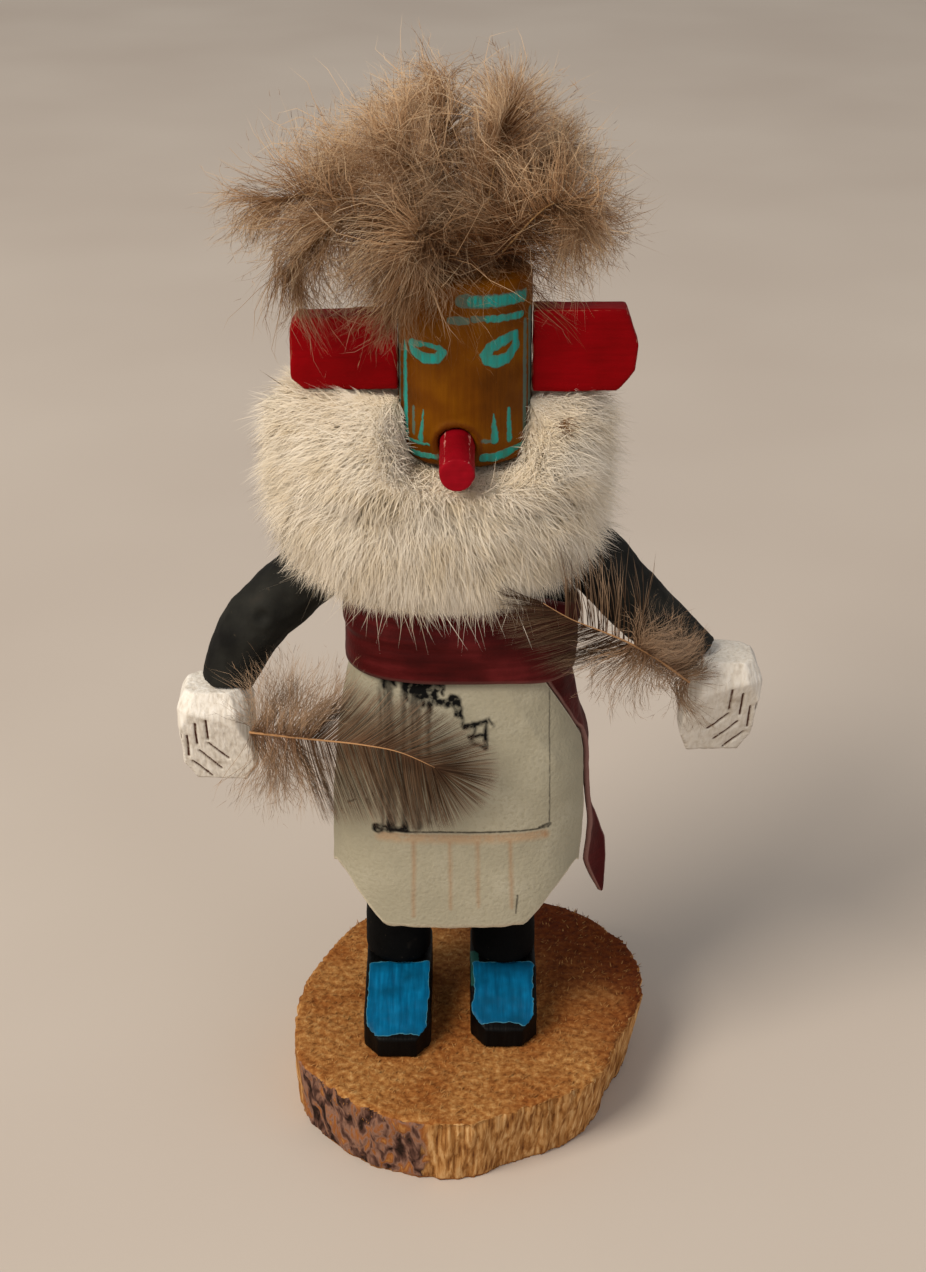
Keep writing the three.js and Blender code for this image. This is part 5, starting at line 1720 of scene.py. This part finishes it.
@dataclass
class Headdress:
    """A dozen fluffy down feathers stuck in the top of the head."""

    tips: tuple[Point, ...] = (
        (32, 5, 0), (32, -12, 13), (23, 11, 27), (11, -2, 42), (-7, 9, 43), (-20, -4, 36),
        (-37, 12, 22), (-51, 0, 12), (-43, -15, -5), (-15, -25, -9), (-14, 28, 18), (13, 28, 18))
    upright: tuple[int, ...] = (3, 4)
    top: Point = (0.4, 1.0, 205.3)
    stub: float = 1.2
    tuft: float = 11.0

    def path(self, tip: Point) -> tuple[tuple[Point, ...], Point]:
        """A feather's quill from its root, and the direction of its width."""
        x, y, z = tip
        share = (8.5 + (z + 9.0) / 52.0 * (2.6 - 8.5)) / math.hypot(x, y)
        root = Vector((self.top[0] + share * x, self.top[1] + share * y, self.top[2] + self.stub))
        end = Vector((self.top[0] + x, self.top[1] + y, self.top[2] + z))
        lift = max(5.0, 15.0 - z * 0.4)
        middle = root.lerp(end, 0.45) + Vector((0, 0, lift * 0.8))
        across = (end - root).cross(Vector((0, 1, 0.25))).normalized()
        end = end + (middle - end).normalized() * self.tuft
        return (tuple(root), tuple(middle), tuple(end)), tuple(across)

    def build(self) -> None:
        """Builds the twelve feathers."""
        finish = HairColour("brown_down", stops=(
            (0.0, "#946c48"), (0.3, "#b48e68"), (0.7, "#cfb08c"), (1.0, "#e3d0b2")),
            dark="#806042", patch=16.0, quill="#b8905f")
        for number, tip in enumerate(self.tips, 1):
            path, across = self.path(tip)
            droop = min(1.7, max(0.0, (22.0 - tip[2]) / 18.0)) * float(tip[0] < 20)
            count = 720 if droop > 1.0 else 520
            rows = []
            for side in (1, -1):
                if number in self.upright:
                    rows.append(BarbRow(side, (0.0, 1.0), 560, (23, 13), (54, 12), 4, 14, 0.45,
                                        0.16, 0.7, 0.1, 700, (0.3, 1.0), shade=0.5))
                else:
                    rows.append(BarbRow(side, (0.0, 1.0), count, (25, 15), (92, 18), 0, 65,
                                        0.9, 0.25, 1.4, 0.1, 700, (0.3, 1.0), droop=droop,
                                        shade=0.45))
                rows.append(BarbRow(side, (0.1, 0.95), 26, (28, 22), (70, 30), 10, 70, 0.6, 0.2,
                                    0.9, 0.14, 0, (0.8, 1.0)))
            Plume(f"headdress_feather_{number}", f"down_feather_{number}", path, across,
                  tuple(rows), finish, seed=20 + number, quill=0.24).build()


# ------------------------------------------------------------------------------ studio


@dataclass
class Studio:
    """Pale floor, soft light and the camera."""

    camera: Point = (0.0, -395.0, 322.5)
    pitch: float = 63.0
    lens: float = 56.6
    floor: float = 12.0

    def build(self) -> None:
        """Sets up everything that isn't part of the doll."""
        self.add_floor()
        self.add_light("key", (-1.6, -1.4, 2.1), 1.3, 76.0, "#fff3e4")
        self.add_light("fill", (1.8, -1.5, 1.1), 1.6, 8.0, "#f2f3ff")
        world = bpy.data.worlds.new("pale_room")
        world.use_nodes = True
        world.node_tree.nodes["Background"].inputs["Color"].default_value = linear("#f2efec")
        world.node_tree.nodes["Background"].inputs["Strength"].default_value = 0.42
        bpy.context.scene.world = world
        bpy.context.scene.view_settings.view_transform = "Standard"
        lens = bpy.data.cameras.new("camera")
        lens.lens = self.lens
        lens.clip_start = 0.01
        view = bpy.data.objects.new("camera", lens)
        view.location = [value * MM for value in self.camera]
        view.rotation_euler = (math.radians(self.pitch), 0.0, 0.0)
        bpy.context.scene.collection.objects.link(view)
        bpy.context.scene.camera = view

    def add_floor(self) -> None:
        """The floor, a plain pale sheet that low views see as far as its edge."""
        bpy.ops.object.select_all(action="DESELECT")
        bpy.ops.mesh.primitive_plane_add(size=self.floor * 2)
        floor = bpy.context.active_object
        floor.name = "floor"
        floor.data.materials.append(PlainFloor("plain_pale_floor").material())

    @staticmethod
    def add_light(name: str, place: Point, size: float, power: float, code: str) -> None:
        """Adds a square soft light that looks at the doll's chest."""
        lamp = bpy.data.lights.new(name, "AREA")
        lamp.shape, lamp.size, lamp.energy = "SQUARE", size, power
        lamp.color = linear(code)[:3]
        light = bpy.data.objects.new(name, lamp)
        light.location = place
        aim = Vector((0, 0, 0.12)) - Vector(place)
        light.rotation_euler = aim.to_track_quat("-Z", "Y").to_euler()
        bpy.context.scene.collection.objects.link(light)


@dataclass(frozen=True)
class PlainFloor(Finish):
    """Smooth matt board, a little uneven in tone."""

    roughness: float = 0.9

    def dress(self, node: NodeMaker, place: Any) -> tuple[bpy.types.Node, bpy.types.Node | None]:
        """Very faint clouds of tone."""
        cloud = node("TexNoise", {"Vector": place, "Scale": per_lump(180), "Detail": 2.0})
        return node("ValToRGB", {0: cloud}, stops=[(0.3, "#c6bbb0"), (0.7, "#cdc3b8")]), None


# ------------------------------------------------------------------------------ the doll


def main() -> None:
    """Builds the doll from the base up, then the studio."""
    logging.basicConfig(level=logging.INFO, format="%(name)s %(message)s")
    for part in (LogSlice(), CarvedFigure(), MaskedHead(), Kilt(), Sash(), FurRuff(),
                 HandFeathers(), Headdress(), Studio()):
        part.build()
        LOG.info("%s is done", type(part).__name__)


if __name__ == "__main__":
    main()
